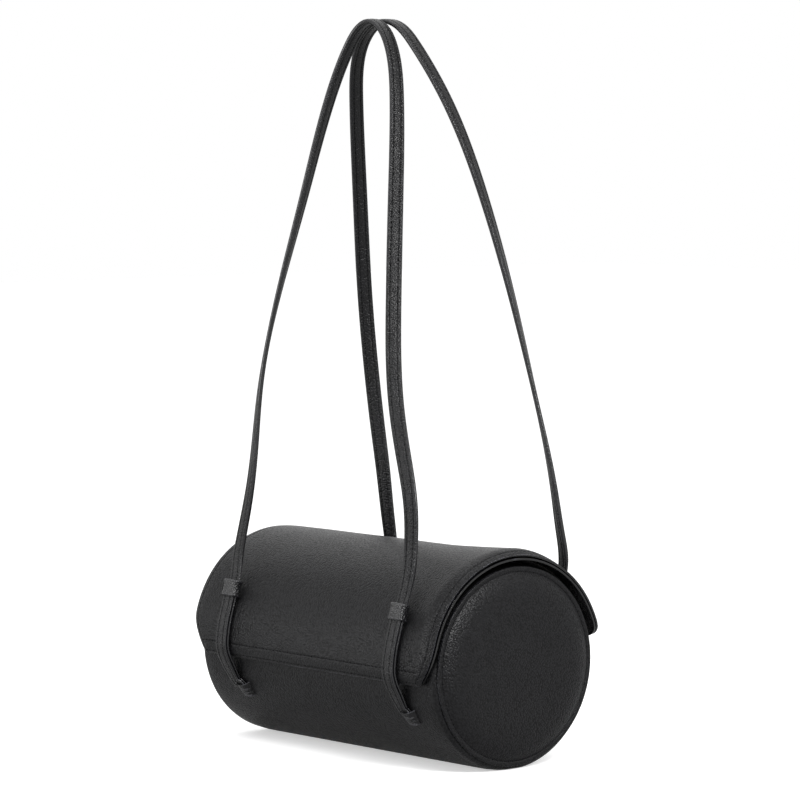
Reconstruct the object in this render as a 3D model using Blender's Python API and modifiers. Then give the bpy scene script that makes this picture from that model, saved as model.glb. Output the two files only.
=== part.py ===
"""A barrel-shaped leather shoulder bag, with a wrap-over flap and two long straps.

Metres, +Z up, with the floor at z = 0. X runs along the barrel, and the front of the bag faces -Y.
Angles round the barrel are measured from the front: 0 is the front, 90 the crown and 180 the back.
"""
import math

import bmesh
import bpy
import numpy as np
from mathutils import Vector

# Barrel: leather outside, stiff board in the middle, lining inside
BARREL_LENGTH = 0.238
BARREL_RADIUS = 0.070
CROWN_SHARE = 0.972
BELLY_SHARE = 0.9506
BASE_HALF_WIDTH = 0.014
END_DRAW = 0.0014
END_DRAW_LENGTH = 0.014
LEATHER_THICKNESS = 0.0014
BOARD_THICKNESS = 0.0014
LINING_THICKNESS = 0.0008
LAYER_GAP = 0.0003
SHOULDER_RADIUS = 0.0026
SEAM_ALLOWANCE = 0.009
END_PANEL_THICKNESS = 0.0014
END_PANEL_INSET = 0.0015
END_PANEL_EDGE = 0.0005

# Mouth, cut through the top of the barrel
MOUTH_END_DISTANCE = 0.019
MOUTH_WIDTH = 0.100
MOUTH_CORNER = 0.016
BINDING_THICKNESS = 0.0011
BINDING_LIP = 0.0006

# Flap: leather over board over lining, sewn on along its back edge
FLAP_OVERHANG = 0.0013
FLAP_STANDOFF = 0.007
FLAP_SEAT = 0.001
FLAP_LEATHER = 0.0013
FLAP_LINING = 0.0011
FLAP_FRONT_ANGLE = math.radians(-4.4)
FLAP_BACK_ANGLE = math.radians(168)
FLAP_FRONT_LIFT = 0.0012
FLAP_LIFT_ANGLE = math.radians(60)
FLAP_ROLL = 0.007
FLAP_FRONT_FALL = 0.002
FLAP_FRONT_INSET = 0.0113
FLAP_TAPER = 0.030
FLAP_BACK_CORNER = 0.010
FLAP_LINING_INSET = 0.001
FLAP_BOARD_INSET = 0.0105

# Magnets, sunk in the boards of the flap and of the barrel
MAGNET_SPACING = 0.100
MAGNET_DIAMETER = 0.010
MAGNET_THICKNESS = 0.001
MAGNET_ANGLE = math.radians(13)

# Straps: each is one flat strap, doubled back on itself at both ends, pressed there by its keepers
# and skived thin at its folds
STRAP_END_DISTANCE = 0.034
STRAP_WIDTH = 0.0098
STRAP_THICKNESS = 0.0026
STRAP_PRESSED = 0.0020
STRAP_SKIVED = 0.0011
SKIVE_LENGTH = 0.016
STRAP_EDGE = 0.0006
STRAP_HEIGHT = 0.4856
STRAP_LEAN = 0.015
FRONT_LEAVE_ANGLE = math.radians(16.5)
BACK_LEAVE_ANGLE = math.radians(8)
FOLD_ANGLE = math.radians(-20.6)
KEEPER_ANGLE = math.radians(30)
KEEPER_LENGTH = 0.011
KEEPER_WALL = 0.0007
ANCHOR_WIDTH = 0.0104
ANCHOR_LENGTH = 0.0090
ANCHOR_THICKNESS = 0.0024
ANCHOR_TOE = 0.0012

# The route of the straps above their keepers. Each row holds a height, as a share of the way up from
# the keepers, then the lean to the left, half the spread and the depth of the front strap, and the
# same three of the back strap, as shares of STRAP_LEAN, half of STRAP_SPACING and the keepers' depth.
ROUTE_SHARES = (
    (0.050, 0.00, 1.015, 0.915, 0.00, 1.020, 1.028),
    (0.110, -0.05, 1.002, 0.864, 0.03, 1.024, 0.989),
    (0.180, -0.22, 0.957, 0.854, 0.13, 1.014, 0.945),
    (0.260, 0.04, 0.886, 0.815, 0.36, 0.998, 0.902),
    (0.350, 0.42, 0.814, 0.761, 0.64, 0.965, 0.846),
    (0.510, 0.64, 0.696, 0.624, 0.87, 0.883, 0.705),
    (0.690, 0.70, 0.548, 0.432, 0.87, 0.739, 0.494),
    (0.860, 0.90, 0.400, 0.225, 0.90, 0.536, 0.246),
    (0.955, 1.05, 0.240, 0.106, 1.00, 0.318, 0.107),
    (0.987, 1.10, 0.118, 0.080, 0.95, 0.160, 0.080),
)
TOP_LEAN_SHARES = (1.13, 0.92)
TOP_DEPTH_SHARE = 0.075
TWIST_SHARES = (0.95, 0.70)

# Counts
ROUND_STEPS = 63
FLAP_ROWS = 32
LOOP_STEPS = 64
FOLD_STEPS = 6
RUN_STEPS = 5

# Sizes worked out from the ones above
MOUTH_LENGTH = BARREL_LENGTH - 2 * MOUTH_END_DISTANCE
FLAP_LENGTH = BARREL_LENGTH + 2 * FLAP_OVERHANG
STRAP_SPACING = BARREL_LENGTH - 2 * STRAP_END_DISTANCE
BASE_ANGLE = math.asin(BASE_HALF_WIDTH / BARREL_RADIUS)
CENTRE_HEIGHT = BELLY_SHARE * math.sqrt(BARREL_RADIUS ** 2 - BASE_HALF_WIDTH ** 2)
BOARD_RADIUS = BARREL_RADIUS - LEATHER_THICKNESS - LAYER_GAP
LINING_RADIUS = BOARD_RADIUS - BOARD_THICKNESS - LAYER_GAP
FLAP_RADIUS = BARREL_RADIUS + FLAP_STANDOFF
FLAP_INNER_RADIUS = BARREL_RADIUS + FLAP_SEAT
FLAP_EDGE_STACK = FLAP_LINING + LAYER_GAP + FLAP_LEATHER
STACK_THICKNESS = 2 * STRAP_PRESSED + LAYER_GAP
FOLD_THICKNESS = 2 * STRAP_SKIVED + LAYER_GAP
FOLD_RADIUS = BARREL_RADIUS + LAYER_GAP + FOLD_THICKNESS / 2
STACK_RADIUS = FLAP_RADIUS + LAYER_GAP + STACK_THICKNESS / 2
KEEPER_RADIUS = STACK_RADIUS / math.cos(KEEPER_ANGLE - FRONT_LEAVE_ANGLE)
FLAP_HINGE_RADIUS = FLAP_INNER_RADIUS + FLAP_EDGE_STACK / 2
FLAP_ROLL_ANGLE = FLAP_ROLL / FLAP_RADIUS

# Finishes: colour, roughness, metallic
FINISHES = {
    "pebbled_leather": ((0.022, 0.022, 0.023), 0.48, 0.0),
    "smooth_leather": ((0.020, 0.020, 0.021), 0.42, 0.0),
    "lining_cloth": ((0.030, 0.029, 0.028), 0.85, 0.0),
    "fibre_board": ((0.210, 0.170, 0.120), 0.90, 0.0),
    "nickel_magnet": ((0.560, 0.550, 0.530), 0.35, 1.0),
}

for old in list(bpy.data.objects):
    bpy.data.objects.remove(old, do_unlink=True)

parts = bpy.data.collections.new("bowling_bag")
cutters = bpy.data.collections.new("cutters")
for group in (parts, cutters):
    bpy.context.scene.collection.children.link(group)


def on_barrel(x, radius, angle):
    """A point round the barrel, which has settled into a slightly low oval with a flat base."""
    y = -radius * math.cos(angle)
    settled_share = CROWN_SHARE if math.sin(angle) > 0 else BELLY_SHARE
    z = CENTRE_HEIGHT + settled_share * radius * math.sin(angle)
    return Vector((x, y, max(z, BARREL_RADIUS - radius)))


def away_from_barrel(angle):
    """The direction square to the barrel's surface at this angle."""
    settled_share = CROWN_SHARE if math.sin(angle) > 0 else BELLY_SHARE
    return Vector((0, -math.cos(angle) * settled_share, math.sin(angle))).normalized()


def finish_material(piece, finish):
    colour, roughness, metallic = FINISHES[finish]
    material = bpy.data.materials.new(piece.name + "_" + finish)
    material.use_nodes = True
    shader = material.node_tree.nodes["Principled BSDF"]
    shader.inputs["Base Color"].default_value = (*colour, 1)
    shader.inputs["Roughness"].default_value = roughness
    shader.inputs["Metallic"].default_value = metallic
    material.diffuse_color = (*colour, 1)
    piece.data.materials.clear()
    piece.data.materials.append(material)


def add_piece(name, mesh, finish, pivot=None):
    """Put a finished mesh in the bag's collection, on its pivot where it moves."""
    piece = bpy.data.objects.new(name, mesh)
    parts.objects.link(piece)
    finish_material(piece, finish)
    mesh.shade_smooth()
    mesh.set_sharp_from_angle(angle=math.radians(35))
    if pivot is not None:
        mesh.transform(pivot.matrix_world.inverted())
        piece.parent = pivot
    return piece


def mesh_from(build):
    """Close a bmesh into a mesh with its faces pointing out."""
    bmesh.ops.recalc_face_normals(build, faces=build.faces)
    mesh = bpy.data.meshes.new("mesh")
    build.to_mesh(mesh)
    build.free()
    return mesh


def evaluated_mesh(piece):
    """The mesh of an object with its modifiers applied."""
    graph = bpy.context.evaluated_depsgraph_get()
    return bpy.data.meshes.new_from_object(piece.evaluated_get(graph))


def settle(mesh):
    """Draw a turned mesh in at the barrel's ends, and lower it into the barrel's settled oval.

    Its steps are spread from the crown so that a single face spans the flat base.
    """
    spread_share = (math.pi - BASE_ANGLE) / (math.pi - math.pi / ROUND_STEPS)
    for vertex in mesh.vertices:
        past = abs(vertex.co.x) - BARREL_LENGTH / 2 + END_DRAW_LENGTH
        drawn_share = END_DRAW / BARREL_RADIUS * (max(past, 0) / END_DRAW_LENGTH) ** 2
        radius = math.hypot(vertex.co.y, vertex.co.z) * (1 - drawn_share)
        angle = math.pi / 2 + spread_share * math.atan2(vertex.co.y, vertex.co.z)
        vertex.co = on_barrel(vertex.co.x, radius, angle)


def turned_mesh(profile):
    """Turn a closed profile of (x, radius) points about the barrel's axis, then settle it."""
    build = bmesh.new()
    corners = [build.verts.new((x, 0, radius)) for x, radius in profile]
    for first, second in zip(corners, corners[1:] + corners[:1]):
        build.edges.new((first, second))
    mesh = bpy.data.meshes.new("profile")
    build.to_mesh(mesh)
    build.free()
    blank = bpy.data.objects.new("profile", mesh)
    parts.objects.link(blank)
    screw = blank.modifiers.new("turn", "SCREW")
    screw.axis = "X"
    screw.steps = ROUND_STEPS
    screw.render_steps = ROUND_STEPS
    screw.use_merge_vertices = True
    screw.merge_threshold = LAYER_GAP / 10
    turned = evaluated_mesh(blank)
    bpy.data.objects.remove(blank, do_unlink=True)
    settle(turned)
    build = bmesh.new()
    build.from_mesh(turned)
    return mesh_from(build)


def disc_mesh(x, radius, thickness, bevel=0.0):
    """A settled disc across the barrel, with its outer face at x."""
    bpy.ops.mesh.primitive_cylinder_add(
        vertices=ROUND_STEPS,
        radius=radius,
        depth=thickness,
        location=(x - math.copysign(thickness / 2, x), 0, 0),
        rotation=(math.radians(90), 0, math.radians(90)),
    )
    blank = bpy.context.object
    blank.data.transform(blank.matrix_world)
    blank.matrix_world.identity()
    if bevel:
        rim = blank.modifiers.new("rim", "BEVEL")
        rim.width = bevel
        rim.segments = 2
    mesh = evaluated_mesh(blank)
    bpy.data.objects.remove(blank, do_unlink=True)
    settle(mesh)
    return mesh


def add_cutter(name, mesh):
    cutter = bpy.data.objects.new(name, mesh)
    cutters.objects.link(cutter)
    cutter.hide_render = True
    cutter.display_type = "WIRE"
    return cutter


def cut(piece, cutter, operation="DIFFERENCE"):
    boolean = piece.modifiers.new(cutter.name, "BOOLEAN")
    boolean.operation = operation
    boolean.object = cutter


def rounded_prism(length, width, corner, low, high):
    """An upright block with rounded corners, for the mouth."""
    bpy.ops.mesh.primitive_cube_add(size=1, location=(0, 0, (low + high) / 2))
    blank = bpy.context.object
    blank.scale = (length, width, high - low)
    bpy.ops.object.transform_apply(location=True, rotation=False, scale=True)
    build = bmesh.new()
    build.from_mesh(blank.data)
    upright = [edge for edge in build.edges if abs(edge.verts[0].co.z - edge.verts[1].co.z) > LAYER_GAP]
    bmesh.ops.bevel(build, geom=upright, offset=corner, segments=4, profile=0.5, affect="EDGES")
    bpy.data.objects.remove(blank, do_unlink=True)
    return mesh_from(build)


def section(centre, across, normal, half_width, half_thickness, edge):
    """The eight corners of a flat strap's section, with its edges eased."""
    shares = (
        (half_width, half_thickness - edge),
        (half_width - edge, half_thickness),
        (edge - half_width, half_thickness),
        (-half_width, half_thickness - edge),
        (-half_width, edge - half_thickness),
        (edge - half_width, -half_thickness),
        (half_width - edge, -half_thickness),
        (half_width, edge - half_thickness),
    )
    return [centre + across * side + normal * rise for side, rise in shares]


def skin(build, rings):
    """Join successive rings of points with faces, and return the rings of vertices."""
    made = [[build.verts.new(point) for point in ring] for ring in rings]
    for first, second in zip(made, made[1:]):
        count = len(first)
        for i in range(count):
            j = (i + 1) % count
            build.faces.new((first[i], first[j], second[j], second[i]))
    return made


def ribbon_mesh(stations, width, thicknesses, edge):
    """A closed flat strap through stations of (centre, across, normal), with a thickness at each."""
    build = bmesh.new()
    rings = [
        section(*station, width / 2, thickness / 2, min(edge, thickness / 3))
        for station, thickness in zip(stations, thicknesses)
    ]
    made = skin(build, rings)
    build.faces.new(made[0])
    build.faces.new(made[-1])
    return mesh_from(build)


def sleeve_mesh(stations, width, thickness, edge, wall):
    """A band of leather closed round the given inside section."""
    build = bmesh.new()
    inner = skin(build, [section(*at, width / 2, thickness / 2, edge) for at in stations])
    outer = skin(
        build,
        [section(*at, width / 2 + wall, thickness / 2 + wall, edge + wall / 2) for at in stations],
    )
    for lining, cover in ((inner[0], outer[0]), (inner[-1], outer[-1])):
        for i in range(len(lining)):
            j = (i + 1) % len(lining)
            build.faces.new((lining[i], lining[j], cover[j], cover[i]))
    return mesh_from(build)


def shell_mesh(upper, lower):
    """A closed sheet between two grids of points that have the same rows and columns."""
    build = bmesh.new()
    top = [[build.verts.new(point) for point in row] for row in upper]
    under = [[build.verts.new(point) for point in row] for row in lower]
    rows = len(top)
    columns = len(top[0])
    for grid in (top, under):
        for i in range(rows - 1):
            for j in range(columns - 1):
                build.faces.new((grid[i][j], grid[i][j + 1], grid[i + 1][j + 1], grid[i + 1][j]))
    border = [(0, j) for j in range(columns)]
    border += [(i, columns - 1) for i in range(1, rows)]
    border += [(rows - 1, j) for j in range(columns - 2, -1, -1)]
    border += [(i, 0) for i in range(rows - 2, 0, -1)]
    for (a, b), (c, d) in zip(border, border[1:] + border[:1]):
        build.faces.new((top[a][b], top[c][d], under[c][d], under[a][b]))
    return mesh_from(build)


def smooth_step(share):
    """Ease from 0 to 1."""
    held = min(max(share, 0), 1)
    return held * held * (3 - 2 * held)


def frames(points, across_hints):
    """Stations along a path: each point with its side direction and the direction square to both."""
    stations = []
    for i, point in enumerate(points):
        ahead = points[min(i + 1, len(points) - 1)]
        behind = points[max(i - 1, 0)]
        along = (ahead - behind).normalized()
        normal = across_hints[i].cross(along).normalized()
        stations.append((point, along.cross(normal), normal))
    return stations


def smooth_path(knots, steps):
    """Evenly spaced points on the natural spline through the knots."""
    places = np.array([tuple(knot) for knot in knots])
    spans = np.linalg.norm(np.diff(places, axis=0), axis=1)
    reach = np.concatenate(([0], np.cumsum(spans)))
    slopes = np.diff(places, axis=0) / spans[:, None]
    matrix = np.eye(len(places))
    change = np.zeros_like(places)
    for i in range(1, len(places) - 1):
        matrix[i, i - 1 : i + 2] = (spans[i - 1], 2 * (spans[i - 1] + spans[i]), spans[i])
        change[i] = 6 * (slopes[i] - slopes[i - 1])
    bends = np.linalg.solve(matrix, change)
    points = []
    for along in np.linspace(0, reach[-1], steps + 1):
        i = min(int(np.searchsorted(reach, along, side="right")) - 1, len(spans) - 1)
        near = along - reach[i]
        far = reach[i + 1] - along
        point = (places[i] * far + places[i + 1] * near) / spans[i]
        point += bends[i] * (far ** 3 / spans[i] - far * spans[i]) / 6
        point += bends[i + 1] * (near ** 3 / spans[i] - near * spans[i]) / 6
        points.append(Vector(point))
    return points


def add_pivot(name, location):
    pivot = bpy.data.objects.new(name, None)
    pivot.location = location
    parts.objects.link(pivot)
    bpy.context.view_layer.update()
    return pivot


# Barrel
def barrel_profile(half_length, radius, thickness, shoulder, allowance):
    """A tube's wall with rounded shoulders and edges turned in over its ends."""
    quarter = [math.radians(degrees) for degrees in (0, 30, 60, 90)]
    right = [
        (half_length - shoulder * (1 - math.sin(turn)), radius - shoulder * (1 - math.cos(turn)))
        for turn in quarter
    ]
    inner = radius - thickness
    inside = half_length - thickness
    right += [(half_length, inner - allowance), (inside, inner - allowance), (inside, inner)]
    drawn_from = BARREL_LENGTH / 2 - END_DRAW_LENGTH
    right = [(drawn_from, radius), (drawn_from + END_DRAW_LENGTH / 2, radius), *right, (drawn_from, inner)]
    left = [(-x, r) for x, r in reversed(right)]
    return right + left


def tube_profile(half_length, radius, thickness):
    """A plain tube's wall, with a ring where the barrel starts to draw in."""
    drawn_from = BARREL_LENGTH / 2 - END_DRAW_LENGTH
    inner = radius - thickness
    right = [(drawn_from, radius), (half_length, radius), (half_length, inner), (drawn_from, inner)]
    return right + [(-x, r) for x, r in reversed(right)]


def build_barrel(magnet_holes):
    """The wrap of leather, its board and its lining, open at the mouth, and the mouth's binding."""
    wrap_half = BARREL_LENGTH / 2 - END_PANEL_THICKNESS - LAYER_GAP
    board_half = wrap_half - LEATHER_THICKNESS - LAYER_GAP
    lining_half = board_half - BOARD_THICKNESS - LAYER_GAP
    over_top = 2 * CENTRE_HEIGHT
    mouth = add_cutter(
        "mouth_cutter", rounded_prism(MOUTH_LENGTH, MOUTH_WIDTH, MOUTH_CORNER, CENTRE_HEIGHT, over_top)
    )
    layers = (
        (
            "barrel_leather",
            "pebbled_leather",
            barrel_profile(wrap_half, BARREL_RADIUS, LEATHER_THICKNESS, SHOULDER_RADIUS, SEAM_ALLOWANCE),
        ),
        ("barrel_board", "fibre_board", tube_profile(board_half, BOARD_RADIUS, BOARD_THICKNESS)),
        ("barrel_lining", "lining_cloth", tube_profile(lining_half, LINING_RADIUS, LINING_THICKNESS)),
    )
    for name, finish, profile in layers:
        layer = add_piece(name, turned_mesh(profile), finish)
        cut(layer, mouth)
        if name == "barrel_board":
            for hole in magnet_holes:
                cut(layer, hole)

    inset = 2 * LAYER_GAP
    outside = rounded_prism(
        MOUTH_LENGTH - inset, MOUTH_WIDTH - inset, MOUTH_CORNER - inset / 2, CENTRE_HEIGHT, over_top
    )
    opening = 2 * (LAYER_GAP + BINDING_THICKNESS)
    inside = add_cutter(
        "binding_inside",
        rounded_prism(
            MOUTH_LENGTH - opening, MOUTH_WIDTH - opening, MOUTH_CORNER - opening / 2, 0, 2 * over_top
        ),
    )
    band_depth = BARREL_RADIUS + BINDING_LIP - (LINING_RADIUS - LINING_THICKNESS)
    band = add_cutter(
        "binding_band", turned_mesh(tube_profile(wrap_half, BARREL_RADIUS + BINDING_LIP, band_depth))
    )
    binding = add_piece("mouth_binding", outside, "smooth_leather")
    cut(binding, band, "INTERSECT")
    cut(binding, inside)


def build_ends():
    """Each end's panel, board and lining."""
    wrap_half = BARREL_LENGTH / 2 - END_PANEL_THICKNESS - LAYER_GAP
    board_outside = wrap_half - LEATHER_THICKNESS - LAYER_GAP
    lining_outside = board_outside - BOARD_THICKNESS - LAYER_GAP
    for side, word in ((-1, "left"), (1, "right")):
        panel = disc_mesh(
            side * BARREL_LENGTH / 2,
            BARREL_RADIUS - END_PANEL_INSET,
            END_PANEL_THICKNESS,
            END_PANEL_EDGE,
        )
        add_piece("end_panel_" + word, panel, "pebbled_leather")
        board = disc_mesh(side * board_outside, LINING_RADIUS, BOARD_THICKNESS)
        add_piece("end_board_" + word, board, "fibre_board")
        lining_radius = LINING_RADIUS - LINING_THICKNESS - LAYER_GAP
        lining = disc_mesh(side * lining_outside, lining_radius, LINING_THICKNESS)
        add_piece("end_lining_" + word, lining, "lining_cloth")


# Flap
def flap_lift(angle):
    """How far the flap's inside stands off more than at the crown, towards the front edge."""
    return FLAP_FRONT_LIFT * (1 - smooth_step((angle - FLAP_FRONT_ANGLE) / FLAP_LIFT_ANGLE))


def flap_half_length(angle):
    """Half the flap's length: narrower towards the front corners, rounded at the back ones."""
    from_front = (angle - FLAP_FRONT_ANGLE) * FLAP_RADIUS
    from_back = (FLAP_BACK_ANGLE - angle) * FLAP_RADIUS
    taper = FLAP_FRONT_INSET * max(1 - from_front / FLAP_TAPER, 0) ** 2
    reach = max(FLAP_BACK_CORNER - from_back, 0)
    corner = FLAP_BACK_CORNER - math.sqrt(max(FLAP_BACK_CORNER ** 2 - reach ** 2, 0))
    return FLAP_LENGTH / 2 - taper - corner


def front_fall(angle):
    """How far the leather's outer face rolls down towards the flap's front edge."""
    return FLAP_FRONT_FALL * max(1 - (angle - FLAP_FRONT_ANGLE) / FLAP_ROLL_ANGLE, 0) ** 2


def flap_outer_radius(x, angle):
    """The leather's outer face, which rolls down to the lining along the side and back edges."""
    to_side = flap_half_length(angle) - abs(x)
    to_back = (FLAP_BACK_ANGLE - angle) * FLAP_RADIUS
    full_fall = FLAP_RADIUS - FLAP_INNER_RADIUS - FLAP_EDGE_STACK - flap_lift(angle)
    edge_fall = full_fall * max(1 - min(to_side, to_back) / FLAP_ROLL, 0) ** 2
    return FLAP_RADIUS - max(edge_fall, front_fall(angle))


def flap_grid(angles, insets, edge_inset, radius_at):
    """Points over the flap: a row at each angle, and columns at set distances from the sides."""
    grid = []
    for angle in angles:
        half = flap_half_length(angle) - edge_inset
        row = [inset - half for inset in insets] + [0] + [half - inset for inset in reversed(insets)]
        grid.append([on_barrel(x, radius_at(x, angle), angle) for x in row])
    return grid


def flap_angles(inset, edge_rows):
    """Angles from the front edge to the back edge, closer together where the edges roll."""
    start = FLAP_FRONT_ANGLE + inset / FLAP_RADIUS
    end = FLAP_BACK_ANGLE - inset / FLAP_RADIUS
    roll = FLAP_ROLL / FLAP_RADIUS
    front = [start + roll * step / edge_rows for step in range(edge_rows)]
    middle_span = end - start - 2 * roll
    middle = [start + roll + middle_span * step / FLAP_ROWS for step in range(FLAP_ROWS)]
    back = [end - roll * (1 - step / edge_rows) for step in range(edge_rows + 1)]
    return front + middle + back


def build_flap(pivot, magnet_holes):
    insets = [FLAP_ROLL * step / 4 for step in range(5)]
    angles = flap_angles(0, 4)
    leather = shell_mesh(
        flap_grid(angles, insets, 0, flap_outer_radius),
        flap_grid(angles, insets, 0, lambda x, angle: flap_outer_radius(x, angle) - FLAP_LEATHER),
    )
    add_piece("flap_leather", leather, "pebbled_leather", pivot)

    def lining_inside(x, angle):
        return FLAP_INNER_RADIUS + flap_lift(angle)

    angles = flap_angles(FLAP_LINING_INSET, 3)
    lining = shell_mesh(
        flap_grid(angles, [0], FLAP_LINING_INSET, lambda x, angle: lining_inside(x, angle) + FLAP_LINING),
        flap_grid(angles, [0], FLAP_LINING_INSET, lining_inside),
    )
    add_piece("flap_lining", lining, "smooth_leather", pivot)

    angles = flap_angles(FLAP_BOARD_INSET, 1)
    board = shell_mesh(
        flap_grid(angles, [0], FLAP_BOARD_INSET, lambda x, angle: FLAP_RADIUS - FLAP_LEATHER - LAYER_GAP),
        flap_grid(
            angles, [0], FLAP_BOARD_INSET, lambda x, angle: lining_inside(x, angle) + FLAP_LINING + LAYER_GAP
        ),
    )
    board_piece = add_piece("flap_board", board, "fibre_board", pivot)
    for hole in magnet_holes:
        cut(board_piece, hole)


# Magnets
def magnet_place(x, radius):
    """Where a magnet's centre lies, and how it turns to face away from the barrel."""
    turn = away_from_barrel(MAGNET_ANGLE).to_track_quat("Z", "Y").to_matrix().to_4x4()
    turn.translation = on_barrel(x, radius, MAGNET_ANGLE)
    return turn


def magnet_mesh(diameter, thickness, place):
    build = bmesh.new()
    bmesh.ops.create_cone(
        build,
        cap_ends=True,
        segments=20,
        radius1=diameter / 2,
        radius2=diameter / 2,
        depth=thickness,
        matrix=place,
    )
    return mesh_from(build)


def build_magnets(pivot):
    """Two magnets in the barrel's board and two in the flap's, and the cutters for their holes."""
    barrel_middle = BOARD_RADIUS - BOARD_THICKNESS / 2
    flap_low = FLAP_INNER_RADIUS + flap_lift(MAGNET_ANGLE) + FLAP_LINING
    flap_middle = (flap_low + FLAP_RADIUS - FLAP_LEATHER) / 2
    holes = {"barrel": [], "flap": []}
    for side, word in ((-1, "left"), (1, "right")):
        x = side * MAGNET_SPACING / 2
        for place_name, radius, owner in (("barrel", barrel_middle, None), ("flap", flap_middle, pivot)):
            place = magnet_place(x, radius)
            magnet = magnet_mesh(MAGNET_DIAMETER, MAGNET_THICKNESS, place)
            add_piece(place_name + "_magnet_" + word, magnet, "nickel_magnet", owner)
            hole = magnet_mesh(MAGNET_DIAMETER + 2 * LAYER_GAP, 6 * MAGNET_THICKNESS, place)
            holes[place_name].append(add_cutter(place_name + "_magnet_hole_" + word, hole))
    return holes


# Straps
def layer_thickness(angle):
    """One layer of the doubled strap, skived thin towards its fold."""
    share = smooth_step((angle - FOLD_ANGLE) * BARREL_RADIUS / SKIVE_LENGTH)
    return STRAP_SKIVED + (STRAP_PRESSED - STRAP_SKIVED) * share


def stack_radius(face, angle):
    """Where the middle of the doubled strap runs: from the fold out over the flap, then straight up."""
    rise_end = 2 * FLAP_ROLL_ANGLE + FLAP_FRONT_ANGLE
    if angle < rise_end:
        share = smooth_step((angle - FOLD_ANGLE) / (rise_end - FOLD_ANGLE))
        rising = FOLD_RADIUS + (STACK_RADIUS - FOLD_RADIUS) * share
        if angle < FLAP_FRONT_ANGLE:
            return rising
        return max(rising, STACK_RADIUS - front_fall(angle))
    leave_angle = FRONT_LEAVE_ANGLE if face < 0 else BACK_LEAVE_ANGLE
    return STACK_RADIUS / math.cos(max(angle - leave_angle, 0))


def stack_point(face, angle, offset, x=0):
    """A point of the doubled strap, on the front or on the back, off its middle by the offset."""
    point = on_barrel(x, stack_radius(face, angle), angle) + away_from_barrel(angle) * offset
    return Vector((x, -face * point.y, point.z))


def lower_run(face, layer, end_angle):
    """Points and thicknesses up one layer of the doubled strap, from its fold to the given angle."""
    stretches = (
        (FOLD_ANGLE, FLAP_FRONT_ANGLE, 3),
        (FLAP_FRONT_ANGLE, FLAP_FRONT_ANGLE + FLAP_ROLL_ANGLE, 3),
        (FLAP_FRONT_ANGLE + FLAP_ROLL_ANGLE, end_angle, RUN_STEPS),
    )
    points = []
    thicknesses = []
    for angle in [a + (b - a) * (step + 1) / steps for a, b, steps in stretches for step in range(steps)]:
        thickness = layer_thickness(angle)
        points.append(stack_point(face, angle, layer * (thickness + LAYER_GAP) / 2))
        thicknesses.append(thickness)
    return points, thicknesses


def fold_points(face):
    """Points round the fold at the anchor, from the outer layer to the inner one."""
    centre = on_barrel(0, FOLD_RADIUS, FOLD_ANGLE)
    outward = away_from_barrel(FOLD_ANGLE)
    down = Vector((0, -outward.z, outward.y))
    points = []
    for step in range(FOLD_STEPS + 1):
        turn = math.pi * step / FOLD_STEPS
        round_fold = outward * math.cos(turn) + down * math.sin(turn)
        point = centre + round_fold * (STRAP_SKIVED + LAYER_GAP) / 2
        points.append(Vector((0, -face * point.y, point.z)))
    return points


def leg_knots(face, side):
    """Knots up one leg, from its keeper to just short of the top of the loop."""
    base = on_barrel(0, KEEPER_RADIUS, KEEPER_ANGLE)
    first = 1 if face < 0 else 4
    knots = []
    for row in ROUTE_SHARES:
        lean, spread, depth = row[first : first + 3]
        knots.append(
            Vector(
                (
                    side * spread * STRAP_SPACING / 2 - lean * STRAP_LEAN,
                    face * depth * abs(base.y),
                    base.z + row[0] * (STRAP_HEIGHT - base.z),
                )
            )
        )
    return knots


def across_at(point, face, side):
    """Which way the strap's width points: along the bag at the keeper, across it at the top."""
    base = on_barrel(0, KEEPER_RADIUS, KEEPER_ANGLE).z
    share = min(max((point.z - base) / (STRAP_HEIGHT - base), 0), 1)
    turn = math.radians(90) * share ** TWIST_SHARES[0 if face < 0 else 1]
    return Vector((side * math.cos(turn), -face * math.sin(turn), 0))


def strap_end(face, side):
    """The doubled end of a strap: up from its tail's tip to the fold, and on up to the keeper."""
    across = Vector((side, 0, 0))
    shift = across * STRAP_SPACING / 2
    tail, tail_thicknesses = lower_run(face, 1, KEEPER_ANGLE)
    run, run_thicknesses = lower_run(face, -1, KEEPER_ANGLE + KEEPER_LENGTH / 2 / KEEPER_RADIUS)
    fold = fold_points(face)
    points = [point + shift for point in tail[::-1] + fold + run]
    thicknesses = tail_thicknesses[::-1] + [STRAP_SKIVED] * len(fold) + run_thicknesses
    return points, thicknesses, [across] * len(points)


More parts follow.
